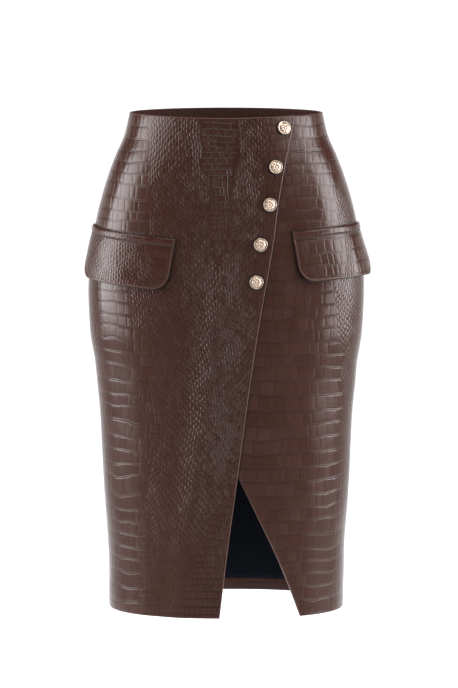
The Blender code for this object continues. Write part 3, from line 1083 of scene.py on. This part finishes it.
def woven_material(name, colour, weave):
    """Plain woven cloth: crossing threads and slubs."""
    shader = Shader(name)
    uv = shader.uv("cloth")
    across, down = (shader.node("ShaderNodeSeparateXYZ", {}, {"Vector": uv}, output=axis) for axis in "XY")
    turn = 2 * math.pi / weave.thread_size
    warp = (across * turn).sine()
    weft = (down * turn).sine()
    crossing = warp * weft
    slub = shader.noise(uv, 300.0, detail=2.0, stretch=(1, 0.12, 1))
    cloudy = shader.noise(uv, 30.0, detail=2.0)
    lighter = tuple(weave.lift * level for level in colour)
    shade = (0.5 + 0.25 * crossing + 0.5 * (slub - 0.5) + 0.4 * (cloudy - 0.5)).clamped()
    tint = shader.mix(shade, colour, lighter)
    roughness = weave.roughness + 0.08 * slub
    normal = shader.bump(crossing + slub, 0.00012, 0.6)
    return shader.finish(Base_Color=tint, Roughness=roughness, Specular_IOR_Level=weave.shine, Normal=normal)


def gold_material(name, colours):
    """Polished pale gold, tarnished in its recesses and lightly scratched."""
    shader = Shader(name)
    place = shader.object_place()
    recess = shader.attribute("recess")
    brushed = shader.noise(place, 900.0, detail=3.0)
    cloudy = shader.noise(place, 220.0, detail=2.0)
    speckled = shader.noise(place, 750.0, detail=2.0)
    tarnish = (recess * (0.5 + 0.6 * cloudy) + 1.8 * (speckled - 0.44) + 0.3 * (cloudy - 0.4)).clamped()
    colour = shader.mix(tarnish, colours.gold, colours.gold_deep)
    roughness = 0.20 + 0.16 * cloudy + 0.20 * tarnish
    normal = shader.bump(brushed, 0.00003, 0.5)
    return shader.finish(Base_Color=colour, Roughness=roughness, Metallic=1.0, Normal=normal)


def thread_material(name, colours):
    """Twisted sewing thread."""
    shader = Shader(name)
    place = shader.object_place()
    twist = shader.noise(place, 2600.0, detail=1.0)
    cloudy = shader.noise(place, 60.0, detail=2.0)
    lighter = tuple(1.6 * level for level in colours.thread)
    tint = shader.mix((0.6 * twist + 0.6 * (cloudy - 0.3)).clamped(), colours.thread, lighter)
    roughness = 0.75 + 0.15 * cloudy
    normal = shader.bump(twist, 0.00008, 0.6)
    return shader.finish(Base_Color=tint, Roughness=roughness, Specular_IOR_Level=0.1, Normal=normal)


def floor_material(name, colours):
    """Matt pale studio floor with a faint mottle."""
    shader = Shader(name)
    place = shader.object_place()
    cloudy = shader.noise(place, 0.8, detail=3.0)
    darker = tuple(0.97 * level for level in colours.floor)
    tint = shader.mix(cloudy, colours.floor, darker)
    return shader.finish(Base_Color=tint, Roughness=0.9, Specular_IOR_Level=0.1)


def shared(name, make):
    """The material of that name, made the first time that it is asked for."""
    return bpy.data.materials.get(name) or make(name)


def leather():
    colours, sizes = bpy.context.scene.skirt_colours, bpy.context.scene.skirt_grain
    return shared("pressed_leather", lambda name: leather_material(name, colours, sizes))


def backing():
    colour = tuple(bpy.context.scene.skirt_colours.backing)
    return shared("woven_backing", lambda name: woven_material(name, colour, BACKING_WEAVE))


def lining():
    colour = tuple(bpy.context.scene.skirt_colours.lining)
    return shared("black_lining", lambda name: woven_material(name, colour, LINING_WEAVE))


def thread():
    return shared("sewing_thread", lambda name: thread_material(name, bpy.context.scene.skirt_colours))


def gold():
    return shared("pale_gold", lambda name: gold_material(name, bpy.context.scene.skirt_colours))


# ---- the operators ------------------------------------------------------------------------------


class SKIRT_OT_fronts(bpy.types.Operator):
    """Make the wrap and the under front in embossed leather"""

    bl_idname = "skirt.fronts"
    bl_label = "Make the Fronts"

    def execute(self, context):
        both = ([leather(), backing()], context.scene.skirt_grain, context.scene.skirt_sewing)
        wrap = make_front(WRAP, *both)
        under = make_front(UNDER, *both)
        flat, area = flat_cut(lambda row: side_seam(row) + wrap_edge(row))
        flat, area = flat_cut(lambda row: side_seam(row) - under_edge(row))
        return {"FINISHED"}


BACK_COLUMNS = stations((0.0, 0.004, 1), (0.004, 0.996, 42), (0.996, 1.0, 1))
BACK_ROWS = stations(
    (0.0, END_STRIP, 1),
    (END_STRIP, LENGTH - HEM - FOLD_STEP, 54),
    (LENGTH - HEM - FOLD_STEP, LENGTH - HEM, 1),
    (LENGTH - HEM, LENGTH - END_STRIP, 2),
    (LENGTH - END_STRIP, LENGTH, 1),
)
DART_MIDDLE = 0.072  # from centre back to each dart at the waist
DART_LENGTH = 0.125
DART_LEAN = 0.010  # how much nearer centre back each dart's point is
DART_DEPTH = 0.0008
DART_WIDTH = 0.0011
HEM_PALE_LINE_WIDTH = 0.0012  # of the paler line painted along the turned-up hem's upper edge


def dart_groove(girth, row):
    """The pinched lines of the two darts below the back's waist, which lean in towards their points."""
    from_back = centre_back(row) - np.abs(girth)
    line = DART_MIDDLE - DART_LEAN * row / DART_LENGTH
    near = ridge_at(from_back, line, DART_WIDTH)
    return DART_DEPTH * near * (1 - smoothstep((row - DART_LENGTH * 0.8) / (DART_LENGTH * 0.2)))


class SKIRT_OT_back(bpy.types.Operator):
    """Make the back in embossed leather, with its darts and turned-up hem"""

    bl_idname = "skirt.back"
    bl_label = "Make the Back"

    def execute(self, context):
        sizes, sewing = context.scene.skirt_grain, context.scene.skirt_sewing

        def outside(round_back, girth, drop, row, to_seam):
            grain = lay_grain(round_back, drop, BACK_KEY, BACK_ZONES, sizes)
            to_end = np.minimum(row, LENGTH - row)
            fade = smoothstep(to_end / GRAIN_FADE) * smoothstep(to_seam / SEAM_FADE)
            fall = np.maximum(roll(to_end, CLOTH / 2), roll(to_seam, sewing.seam_roll))
            out = grain_height(grain, sizes) * fade - fall - dart_groove(girth, row)
            # Paler at the waist's and hem's edges: rubbing, and a painted highlight of the edge.
            return grain, out, 1 - smoothstep(to_end / WORN_AND_LIT_REACH), 1 - fade, 0.0

        def inside(round_back, girth, drop, row, to_seam):
            turned = turned_in(LENGTH - row, HEM)
            grain = lay_grain(round_back, drop, BACK_KEY + 1, PLAIN_ZONES, sizes)
            # A paler line painted along the turned-up hem's upper edge.
            rim = ridge_at(LENGTH - row, HEM, HEM_PALE_LINE_WIDTH)
            return grain, -CLOTH * (1 + turned), rim, 0.0, turned < 0.5

        grid = (BACK_COLUMNS, BACK_ROWS, PANEL_CUTS)
        cloth = ([leather(), backing()], "embossed_leather")
        back = make_round_back("back_panel", "back", grid, outside, inside, *cloth)
        flat, area = flat_cut(lambda row: 2 * (centre_back(row) - side_seam(row)))
        return {"FINISHED"}


FACING_ROWS = stations(
    (0.0, END_STRIP, 1),
    (END_STRIP, FACING_DEPTH - END_STRIP, 4),
    (FACING_DEPTH - END_STRIP, FACING_DEPTH, 1),
)
FACING_GRAIN_SHARE = 0.6  # how high the facing's grain is, for the panels' own
# Painted light: the facing is painted paler all over, standing in for light on the shaded inside of the
# waist.
FACING_PAINTED_LIGHT = 0.4
LINING_EASE = 0.0026  # how far the loose lining waves inwards
LINING_HELD = 0.05  # over what distance its edges hold it flat


class SKIRT_OT_lining(bpy.types.Operator):
    """Make the leather facing inside the back's waist and the lining below it"""

    bl_idname = "skirt.lining"
    bl_label = "Make the Facing and Lining"

    def execute(self, context):
        self.make_facing(context)
        self.make_lining()
        return {"FINISHED"}

    def make_facing(self, context):
        sizes = context.scene.skirt_grain
        base = -CLOTH - SEAM_GAP

        def against_back(round_back, girth, drop, row, to_seam):
            return NO_GRAIN, np.full_like(girth, base), 0.0, 1.0, 0.0

        def towards_wearer(round_back, girth, drop, row, to_seam):
            grain = lay_grain(round_back, drop, FACING_KEY, FACING_ZONES, sizes)
            fade = smoothstep(np.minimum(row, FACING_DEPTH - row) / GRAIN_FADE)
            out = base - FACING_CLOTH - FACING_GRAIN_SHARE * grain_height(grain, sizes) * fade
            # Painted light over the whole facing, in place of light on its shaded inside.
            return grain, out, FACING_PAINTED_LIGHT, 1 - fade, 0.0

        grid = (stations((0.0, 1.0, 44)), FACING_ROWS, FACING_CUTS)
        cloth = ([leather(), leather()], "embossed_leather")
        facing = make_round_back("facing_strip", "waist_facing", grid, towards_wearer, against_back, *cloth)

    def make_lining(self):
        top, bottom = FACING_DEPTH + SEAM_GAP, LENGTH - HEM - FOLD_STEP - SEAM_GAP
        base = -CLOTH - LINING_GAP

        def ease(girth, row):
            waves = np.sin(girth * 92 + 1.5 * drift(girth, row, 0.12, LINING_KEY)) * 0.5 + 0.5
            loose_below = 0.35 + 0.65 * smoothstep((bottom - row) / LINING_HELD)
            return LINING_EASE * waves**2 * (smoothstep((row - top) / LINING_HELD) * loose_below)

        def towards_cloth(round_back, girth, drop, row, to_seam):
            return NO_GRAIN, base - ease(round_back, row), 0.0, 1.0, 0.0

        def towards_wearer(round_back, girth, drop, row, to_seam):
            return NO_GRAIN, base - LINING_CLOTH - ease(round_back, row), 0.0, 1.0, 0.0

        grid = (stations((0.0, 1.0, 60)), stations((top, bottom, 44)), LINING_CUTS)
        cloth = ([lining(), lining()], "lining")
        panel = make_round_back("lining_panel", "back_lining", grid, towards_wearer, towards_cloth, *cloth)
        flat, area = flat_cut(lambda row: 2 * (centre_back(row) - side_seam(row)))
        flat = (flat[0], bottom - top)


def corner_inset(down):
    """How far the rounded lower corners draw in the flap's ends."""
    below = np.maximum(down - (FLAP_HEIGHT - FLAP_CORNER), 0.0)
    return FLAP_CORNER - np.sqrt(np.maximum(FLAP_CORNER**2 - below**2, 0.0))


def flap_place(flap, along, down):
    """The girth, drop and distance off the front of a place on a flap."""
    share = along / flap.width
    splay = FLAP_SPLAY * (1 - share) * down / FLAP_HEIGHT
    girth = flap.side * (flap.girth + along + splay)
    drop = flap.drop - along * flap.slant * (1 - flap.bow * share / 2) + down
    opening = np.maximum(down - FLAP_BAND, 0.0) / (FLAP_HEIGHT - FLAP_BAND)
    gap = FLAP_GAP + opening**FLAP_CURL * between(flap.flare, flap.flare + flap.side_flare, share)
    ripple = 0.5 + 0.5 * drift(along, down, FLAP_RIPPLE_SIZE, RIPPLE_KEY + flap.side)
    gap = gap + FLAP_RIPPLE * opening * ripple
    return girth, drop, gap


def flap_relief(down):
    """The puffed band above the row of stitches, and the groove that the stitches pull in below it."""
    band = FLAP_BAND_RISE * np.sin(math.pi * np.minimum(down, FLAP_BAND) / FLAP_BAND)
    groove = -FLAP_GROOVE * (1 - smoothstep((down - FLAP_BAND) / FLAP_BAND))
    return np.where(down < FLAP_BAND, band, groove)


def to_flap_edge(flap, along, down):
    """The distance to the flap's nearest free edge, which is either end, the lower edge or a corner's arc."""
    corner = np.minimum(along, flap.width - along)
    past_along = FLAP_CORNER - corner
    past_down = down - (FLAP_HEIGHT - FLAP_CORNER)
    in_corner = (past_along > 0) & (past_down > 0)
    arc = FLAP_CORNER - np.hypot(past_along, past_down)
    return np.where(in_corner, arc, np.minimum(corner, FLAP_HEIGHT - down))


# A flap's own grain: how firm it is, how many times its places are stretched along and down, and half the
# width of its strip of pebbles, whose middle is given at its top and at its bottom.
FlapGrain = namedtuple("FlapGrain", "firmness along down pebbled")
FLAP_GRAINS = {
    "flap_right": FlapGrain(0.80, 0.95, 1.25, 0.062),
    "flap_left": FlapGrain(1.3, 1.15, 1.0, 0.0),
}
FLAP_PEBBLED_MIDDLE = (0.100, 0.090)
FLAP_FADE = 0.003  # over what distance a flap's grain fades out towards its edge
BAND_FADE = 0.002  # the same at the band's stitches
BAND_GRAIN_SHARE = 0.8  # how much of the grain shows on the band
FLAP_DIP = 0.00030  # how deep the flap's stitches pull in the leather
BAND_DIP = 0.00035
BAND_DIP_WIDTH = 0.0010
FLAP_COLUMNS = stations((0.0, 0.012, 1), (0.012, 0.988, 19), (0.988, 1.0, 1))
FLAP_ROWS = stations(
    (0.0, 0.0015, 1),
    (0.0015, FLAP_BAND, 2),
    (FLAP_BAND, FLAP_HEIGHT - FLAP_CORNER, 4),
    (FLAP_HEIGHT - FLAP_CORNER, FLAP_HEIGHT - FLAP_CLOTH, 4),
    (FLAP_HEIGHT - FLAP_CLOTH, FLAP_HEIGHT, 2),
)


class SKIRT_OT_flaps(bpy.types.Operator):
    """Make the two pocket flaps, with their puffed and stitched top bands"""

    bl_idname = "skirt.flaps"
    bl_label = "Make the Flaps"

    def execute(self, context):
        for flap in FLAPS:
            self.make_flap(flap, context.scene.skirt_grain, context.scene.skirt_sewing)
        return {"FINISHED"}

    def make_flap(self, flap, sizes, sewing):
        def place(column, row):
            """How far along the flap, and the girth, drop and distance off the front."""
            inset = corner_inset(row)
            along = between(inset, flap.width - inset, column)
            return along, flap_place(flap, along, row)

        def outer(column, row):
            along, (girth, drop, gap) = place(column, row)
            grain = flap_grain(flap, along, row, sizes)
            edge = to_flap_edge(flap, along, row)
            free = np.minimum(edge, row)
            fade = smoothstep(free / FLAP_FADE) * smoothstep(np.abs(row - FLAP_BAND) / BAND_FADE)
            fade = fade * between(BAND_GRAIN_SHARE, 1.0, smoothstep((row - FLAP_BAND) / BAND_FADE))
            stitched = FLAP_DIP * ridge_at(edge, sewing.margin, STITCH_DIP_WIDTH) * (row > FLAP_BAND)
            pulled = BAND_DIP * ridge_at(row, FLAP_BAND, BAND_DIP_WIDTH)
            puff = flap_relief(row) * smoothstep(free / FLAP_CLOTH)
            surface = gap + FLAP_CLOTH + puff + grain_height(grain, sizes) * fade
            out = surface - stitched - pulled - roll(free, FLAP_CLOTH / 2)
            # A pale line just inside the flap's edge: a painted highlight of the rolled edge, and rubbing.
            wear = 0.7 * ridge_at(edge, 0.0020, 0.0008)
            # Painted shade: a dark outline at the flap's edge and a dark line along the band's stitches, with
            # some edge dye.
            rim = 1 - smoothstep((edge - 0.0004) / 0.0012)
            grime = np.maximum(rim, ridge_at(row, FLAP_BAND, 0.0012))
            return Skin(on_body(girth, drop, out), flap.side * along, row, grain, wear, 1 - fade, 0.0, grime)

        def inner(column, row):
            along, (girth, drop, gap) = place(column, row)
            return Skin(on_body(girth, drop, gap), flap.side * along, row, NO_GRAIN, 0.0, 1.0, 1.0)

        name = flap.name + "_cloth"
        mesh = cloth_wall(name, FLAP_COLUMNS, FLAP_ROWS, FLAP_CUTS, outer, inner)
        piece = add_piece(name, mesh, [leather(), backing()], [flap.name])
        area = flap.width * FLAP_HEIGHT - (2 - math.pi / 2) * FLAP_CORNER**2
        rests_on = ["wrap_front"] if flap.side < 0 else ["under_front"]


def flap_grain(flap, along, down, sizes):
    """The flap on the wearer's right is mostly pebbled, and the other one has large scales."""
    own = FLAP_GRAINS[flap.name]
    top, bottom = FLAP_PEBBLED_MIDDLE
    strip = (Strip(0.0, top, own.pebbled, 1.0), Strip(FLAP_HEIGHT, bottom, own.pebbled, 1.0))
    along, down, key = along * own.along, down * own.down, FLAP_KEY + flap.side
    grain = lay_grain(along, down, key, Zones((strip,)), sizes)
    return grain._replace(firmness=grain.firmness * own.firmness)


# ---- buttons ------------------------------------------------------------------------------------

# Half of a button's section above the cloth: the distance from its axis and the height.
Turned = namedtuple("Turned", "radius height")
BUTTON_PROFILE = (
    Turned(SHANK_RADIUS, 0.0),
    Turned(SHANK_RADIUS, 0.0010),
    Turned(BUTTON_RADIUS - 0.0012, 0.0012),
    Turned(BUTTON_RADIUS - 0.0004, 0.0015),
    Turned(BUTTON_RADIUS, 0.0021),
    Turned(BUTTON_RADIUS - 0.0002, 0.0027),
    Turned(BUTTON_RADIUS - 0.0007, 0.0031),
    Turned(BUTTON_RADIUS - 0.0013, 0.0030),
    Turned(BUTTON_RADIUS - 0.0018, 0.0026),
    Turned(BUTTON_RADIUS - 0.0023, 0.0027),
)
BUTTON_SEGMENTS = 72
DOME_RINGS = 14
DOME_HEIGHT = 0.0048
DOME_FLATNESS = 0.45  # how much of that height the face under the ornament takes
PETALS = 8
PETAL_RISE = 0.0009
BOSS_RISE = 0.0006
MOAT_DEPTH = 0.0003
FACE_LEVEL = 0.002  # the button's face is all above this height


def wrap_seat(girth, drop, out):
    """A place on the wrap and the way out of it."""
    lift = wrap_lift(np.array([girth]), np.array([drop]))
    ends = on_body(np.array([girth, girth]), np.array([drop, drop]), np.array([0.0, lift[0] + out]))
    return Vector(ends[1]), Vector(ends[1] - ends[0]).normalized()


class SKIRT_OT_buttons(bpy.types.Operator):
    """Make the five metal buttons down the wrap's edge"""

    bl_idname = "skirt.buttons"
    bl_label = "Make the Buttons"

    def execute(self, context):
        for number, button in enumerate(BUTTONS, start=1):
            self.make_button(number, button)
        return {"FINISHED"}

    def make_button(self, number, button):
        bm = bmesh.new()
        inner = BUTTON_PROFILE[-1]
        face = [Turned(inner.radius * (1 - k / DOME_RINGS), inner.height) for k in range(1, DOME_RINGS)]
        profile = [bm.verts.new((point.radius, 0, point.height)) for point in (*BUTTON_PROFILE, *face)]
        edges = [bm.edges.new(pair) for pair in zip(profile, profile[1:])]
        bmesh.ops.spin(
            bm,
            geom=profile + edges,
            axis=(0, 0, 1),
            angle=2 * math.pi,
            steps=BUTTON_SEGMENTS,
            use_merge=True,
        )
        bmesh.ops.remove_doubles(bm, verts=bm.verts, dist=WELD)
        bmesh.ops.holes_fill(bm, edges=bm.edges[:], sides=BUTTON_SEGMENTS)
        recess = bm.verts.layers.float.new("recess")
        for vert in bm.verts:
            radius = math.hypot(vert.co.x, vert.co.y)
            if radius < inner.radius - WELD and vert.co.z > FACE_LEVEL:
                rise, depth = self.ornament(radius / inner.radius, math.atan2(vert.co.y, vert.co.x))
                vert.co.z += rise
                vert[recess] = depth
            elif BUTTON_RADIUS - 0.0025 < radius < BUTTON_RADIUS - 0.0014:
                vert[recess] = 0.6
            elif radius > BUTTON_RADIUS - 0.0005:
                vert[recess] = 0.7
        bmesh.ops.recalc_face_normals(bm, faces=bm.faces)
        seat, outward = wrap_seat(button.girth, button.drop, SEAM_GAP)
        turn = Vector((0, 0, 1)).rotation_difference(outward).to_matrix().to_4x4()
        bmesh.ops.transform(bm, matrix=Matrix.Translation(seat) @ turn, verts=bm.verts)
        name = f"metal_button_{number}"
        add_piece(name, mesh_from(name, bm), [gold()], [f"button_{number}"])

    def ornament(self, share, angle):
        """The rise of the domed face and how recessed it is, with a ring of petals round a small boss."""
        dome = (DOME_HEIGHT - BUTTON_PROFILE[-1].height) * (1 - share**2)
        petal = abs(math.cos(PETALS * angle / 2)) ** 0.6
        body = math.exp(-(((share - 0.60) / 0.24) ** 4))
        boss = math.exp(-((share / 0.20) ** 4))
        valley = body * (1 - petal)
        moat = math.exp(-(((share - 0.29) / 0.05) ** 2))
        border = math.exp(-(((share - 1.0) / 0.07) ** 2))
        rise = DOME_FLATNESS * dome + PETAL_RISE * body * petal + BOSS_RISE * boss - MOAT_DEPTH * moat
        return rise, min(0.9 * valley + 0.8 * moat + 0.7 * border, 1.0)


# ---- stitches -----------------------------------------------------------------------------------


def stitch_row(bm, path, up, sewing):
    """Stitches along a path of places, each a small closed bead sunk to half its thickness."""
    steps = np.linalg.norm(np.diff(path, axis=0), axis=1)
    run = np.concatenate([[0.0], np.cumsum(steps)])
    pitch = sewing.stitch_length + sewing.stitch_gap
    for number in range(int(run[-1] / pitch)):
        start = (number + 0.5) * pitch - sewing.stitch_length / 2
        ends = [
            Vector([np.interp(at, run, path[:, axis]) for axis in range(3)])
            for at in (start, start + sewing.stitch_length)
        ]
        middle = (ends[0] + ends[1]) / 2
        outward = Vector([np.interp(start, run, up[:, axis]) for axis in range(3)]).normalized()
        forward = (ends[1] - ends[0]).normalized()
        sideways = outward.cross(forward).normalized()
        turn = Matrix((forward, sideways, outward)).transposed().to_4x4()
        size = Matrix.Diagonal((sewing.stitch_length / 2, sewing.thread_radius, sewing.thread_radius, 1))
        place = Matrix.Translation(middle) @ turn @ size
        bmesh.ops.create_uvsphere(bm, u_segments=6, v_segments=4, radius=1.0, matrix=place)


def surface_path(girth, drop, out):
    """Places along a line on the cloth, and the way out at each."""
    places = on_body(girth, drop, out)
    return places, places - on_body(girth, drop, np.asarray(out) - 0.001)


ROW_END = 0.004  # from a cloth's end to the end of its row of stitches
TUCKED_ROW = 0.03  # how far the slit's row runs on under the wrap
STITCH_SINK = 0.00015  # how far the flap's stitches are pulled in


class SKIRT_OT_stitches(bpy.types.Operator):
    """Sew the rows of stitches along the front edges and on the flaps"""

    bl_idname = "skirt.stitches"
    bl_label = "Sew the Stitches"

    def execute(self, context):
        sewing = context.scene.skirt_sewing
        rows = np.linspace(ROW_END, LENGTH - ROW_END, 300)
        edge = wrap_edge(rows) - sewing.margin
        self.sew("stitches_wrap", [(edge, trimmed(edge, rows), wrap_lift(edge, rows))], sewing)
        rows = np.linspace(SLIT_TOP.drop - TUCKED_ROW, LENGTH - ROW_END, 120)
        edge = under_edge(rows) + sewing.margin
        self.sew("stitches_slit", [(edge, trimmed(edge, rows), np.zeros_like(rows))], sewing)
        for flap in FLAPS:
            self.sew("stitches_" + flap.name, self.flap_rows(flap, sewing), sewing)
        return {"FINISHED"}

    def sew(self, name, lines, sewing):
        bm = bmesh.new()
        for girth, drop, out in lines:
            places, up = surface_path(girth, drop, out)
            stitch_row(bm, places, up, sewing)
        add_piece(name, mesh_from(name, bm), [thread()], [])

    def flap_rows(self, flap, sewing):
        """The row under the band, and the one round both ends and the lower edge."""
        along = np.linspace(0.003, flap.width - 0.003, 120)
        band = (along, np.full_like(along, FLAP_BAND))
        margin = sewing.margin
        radius = FLAP_CORNER - margin
        turn = np.linspace(0, math.pi / 2, 24)
        lower = FLAP_HEIGHT - FLAP_CORNER
        left = (FLAP_CORNER - radius * np.cos(turn), lower + radius * np.sin(turn))
        start = np.linspace(FLAP_BAND + BAND_FADE, lower, 20)
        left_along = np.concatenate([np.full_like(start, margin), left[0]])
        left_down = np.concatenate([start, left[1]])
        edge_along = np.concatenate([left_along, flap.width - left_along[::-1]])
        edge_down = np.concatenate([left_down, left_down[::-1]])
        found = []
        for run_along, run_down in (band, (edge_along, edge_down)):
            girth, drop, gap = flap_place(flap, run_along, run_down)
            out = gap + FLAP_CLOTH + flap_relief(run_down + WELD) - STITCH_SINK
            found.append((girth, drop, out))
        return found


# ---- the stage ----------------------------------------------------------------------------------

CAMERA_ELEVATION = math.radians(6.27)
AIM = Vector((0.0038, 0.0, -0.3212))
FLOOR_RADIUS = 17.0
RIM_SPREAD = 2.0  # how many times wider the rim's outer edge is than the flat floor
RIM_RISE = 7.3
SENSOR = 36.0
SOFTBOX_COLOUR = (0.93, 0.99, 1.03)
# A rectangular soft light: how many degrees round from the front it stands, the level of its middle and
# the level on the skirt's axis that it faces, its width and height, and the sides that have one.
Softbox = namedtuple("Softbox", "name azimuth level aim width height sides")
SOFTBOXES = (
    Softbox("side_light", 86.6, 0.12, 0.12, 1.35, 1.44, (1, -1)),
    Softbox("high_light", 72.5, 1.36, 0.20, 2.20, 1.00, (1, -1)),
    Softbox("low_light", 77.3, -0.88, -0.88, 1.30, 0.60, (1, -1)),
    Softbox("near_light", 64.0, -0.45, -0.45, 0.50, 0.35, (1, -1)),
    Softbox("fill_light", 47.0, 0.75, 0.0, 1.20, 1.00, (1,)),
)
OVERHEAD_TILT = math.radians(28)
OVERHEAD_SPREAD = math.radians(40)


class SKIRT_OT_stage(bpy.types.Operator):
    """Set up the pale floor, the soft lights and the camera"""

    bl_idname = "skirt.stage"
    bl_label = "Set Up the Stage"

    def execute(self, context):
        studio, colours = context.scene.skirt_studio, context.scene.skirt_colours
        self.make_floor(studio, colours)
        self.make_lights(context, studio)
        self.make_camera(context, studio)
        return {"FINISHED"}

    def make_floor(self, studio, colours):
        """A wide round floor whose far rim slopes up, so that a level view ends on it too."""
        bm = bmesh.new()
        bmesh.ops.create_circle(bm, cap_ends=True, segments=96, radius=FLOOR_RADIUS)
        rim = bmesh.ops.extrude_edge_only(bm, edges=bm.edges[:])
        rim_verts = [found for found in rim["geom"] if isinstance(found, bmesh.types.BMVert)]
        bmesh.ops.scale(bm, vec=(RIM_SPREAD, RIM_SPREAD, 1), verts=rim_verts)
        bmesh.ops.translate(bm, vec=(0, 0, RIM_RISE), verts=rim_verts)
        bmesh.ops.translate(bm, vec=(0, 0, -studio.floor_drop), verts=bm.verts)
        bmesh.ops.recalc_face_normals(bm, faces=bm.faces)
        mesh = mesh_from("floor", bm)
        mesh.materials.append(floor_material("pale_floor", colours))
        floor = bpy.data.objects.new("floor", mesh)
        bpy.context.scene.collection.objects.link(floor)

    def make_lights(self, context, studio):
        for box in SOFTBOXES:
            azimuth = math.radians(box.azimuth)
            for side in box.sides:
                ahead, across = -math.cos(azimuth), side * math.sin(azimuth)
                place = (across * studio.light_distance, ahead * studio.light_distance, box.level)
                self.softbox(context, box, place, getattr(studio, box.name))
        data = bpy.data.lights.new("overhead", "SUN")
        data.energy = studio.overhead
        data.angle = OVERHEAD_SPREAD
        overhead = bpy.data.objects.new("overhead", data)
        overhead.rotation_euler = (OVERHEAD_TILT, 0, 0)
        context.scene.collection.objects.link(overhead)
        world = bpy.data.worlds.new("studio")
        world.use_nodes = True
        background = world.node_tree.nodes["Background"]
        background.inputs["Color"].default_value = (1.0, 1.0, 1.0, 1.0)
        background.inputs["Strength"].default_value = studio.sky
        context.scene.world = world
        context.scene.view_settings.view_transform = "Standard"

    def softbox(self, context, box, place, brightness):
        """A rectangular light that faces the skirt and isn't seen itself."""
        data = bpy.data.lights.new(box.name, "AREA")
        data.shape = "RECTANGLE"
        data.size, data.size_y = box.width, box.height
        data.energy = brightness * math.pi * box.width * box.height
        data.color = SOFTBOX_COLOUR
        light = bpy.data.objects.new(box.name, data)
        light.location = place
        light.rotation_mode = "QUATERNION"
        light.rotation_quaternion = (Vector((0, 0, box.aim)) - Vector(place)).to_track_quat("-Z", "Y")
        light.visible_camera = False
        context.scene.collection.objects.link(light)

    def make_camera(self, context, studio):
        data = bpy.data.cameras.new("camera")
        data.lens = studio.lens
        data.sensor_width = SENSOR
        camera = bpy.data.objects.new("camera", data)
        back = Vector((0, -math.cos(CAMERA_ELEVATION), math.sin(CAMERA_ELEVATION)))
        camera.location = AIM + back * studio.distance
        camera.rotation_euler = (math.pi / 2 - CAMERA_ELEVATION, 0, 0)
        context.scene.collection.objects.link(camera)
        context.scene.camera = camera


# ---- the panel, registration and the run --------------------------------------------------------

STEPS = (
    SKIRT_OT_stage,
    SKIRT_OT_back,
    SKIRT_OT_fronts,
    SKIRT_OT_lining,
    SKIRT_OT_flaps,
    SKIRT_OT_buttons,
    SKIRT_OT_stitches,
)
GROUPS = {
    "skirt_grain": SkirtGrain,
    "skirt_sewing": SkirtSewing,
    "skirt_colours": SkirtColours,
    "skirt_studio": SkirtStudio,
}


class SKIRT_PT_sidebar(bpy.types.Panel):
    """The skirt's steps and sizes in the sidebar"""

    bl_label = "Wrap Pencil Skirt"
    bl_idname = "SKIRT_PT_sidebar"
    bl_space_type = "VIEW_3D"
    bl_region_type = "UI"
    bl_category = "Skirt"

    def draw(self, context):
        for step in STEPS:
            self.layout.operator(step.bl_idname)
        for name, group in GROUPS.items():
            box = self.layout.box()
            box.label(text=group.__doc__)
            for field in group.__annotations__:
                box.prop(getattr(context.scene, name), field)


CLASSES = (*GROUPS.values(), *STEPS, SKIRT_PT_sidebar)


def register():
    for made in CLASSES:
        bpy.utils.register_class(made)
    for name, group in GROUPS.items():
        setattr(bpy.types.Scene, name, PointerProperty(type=group))


def unregister():
    for name in GROUPS:
        delattr(bpy.types.Scene, name)
    for made in reversed(CLASSES):
        bpy.utils.unregister_class(made)


def main():
    register()
    for step in STEPS:
        group, name = step.bl_idname.split(".")
        getattr(getattr(bpy.ops, group), name)()
    bpy.context.view_layer.update()


if __name__ == "__main__":
    main()
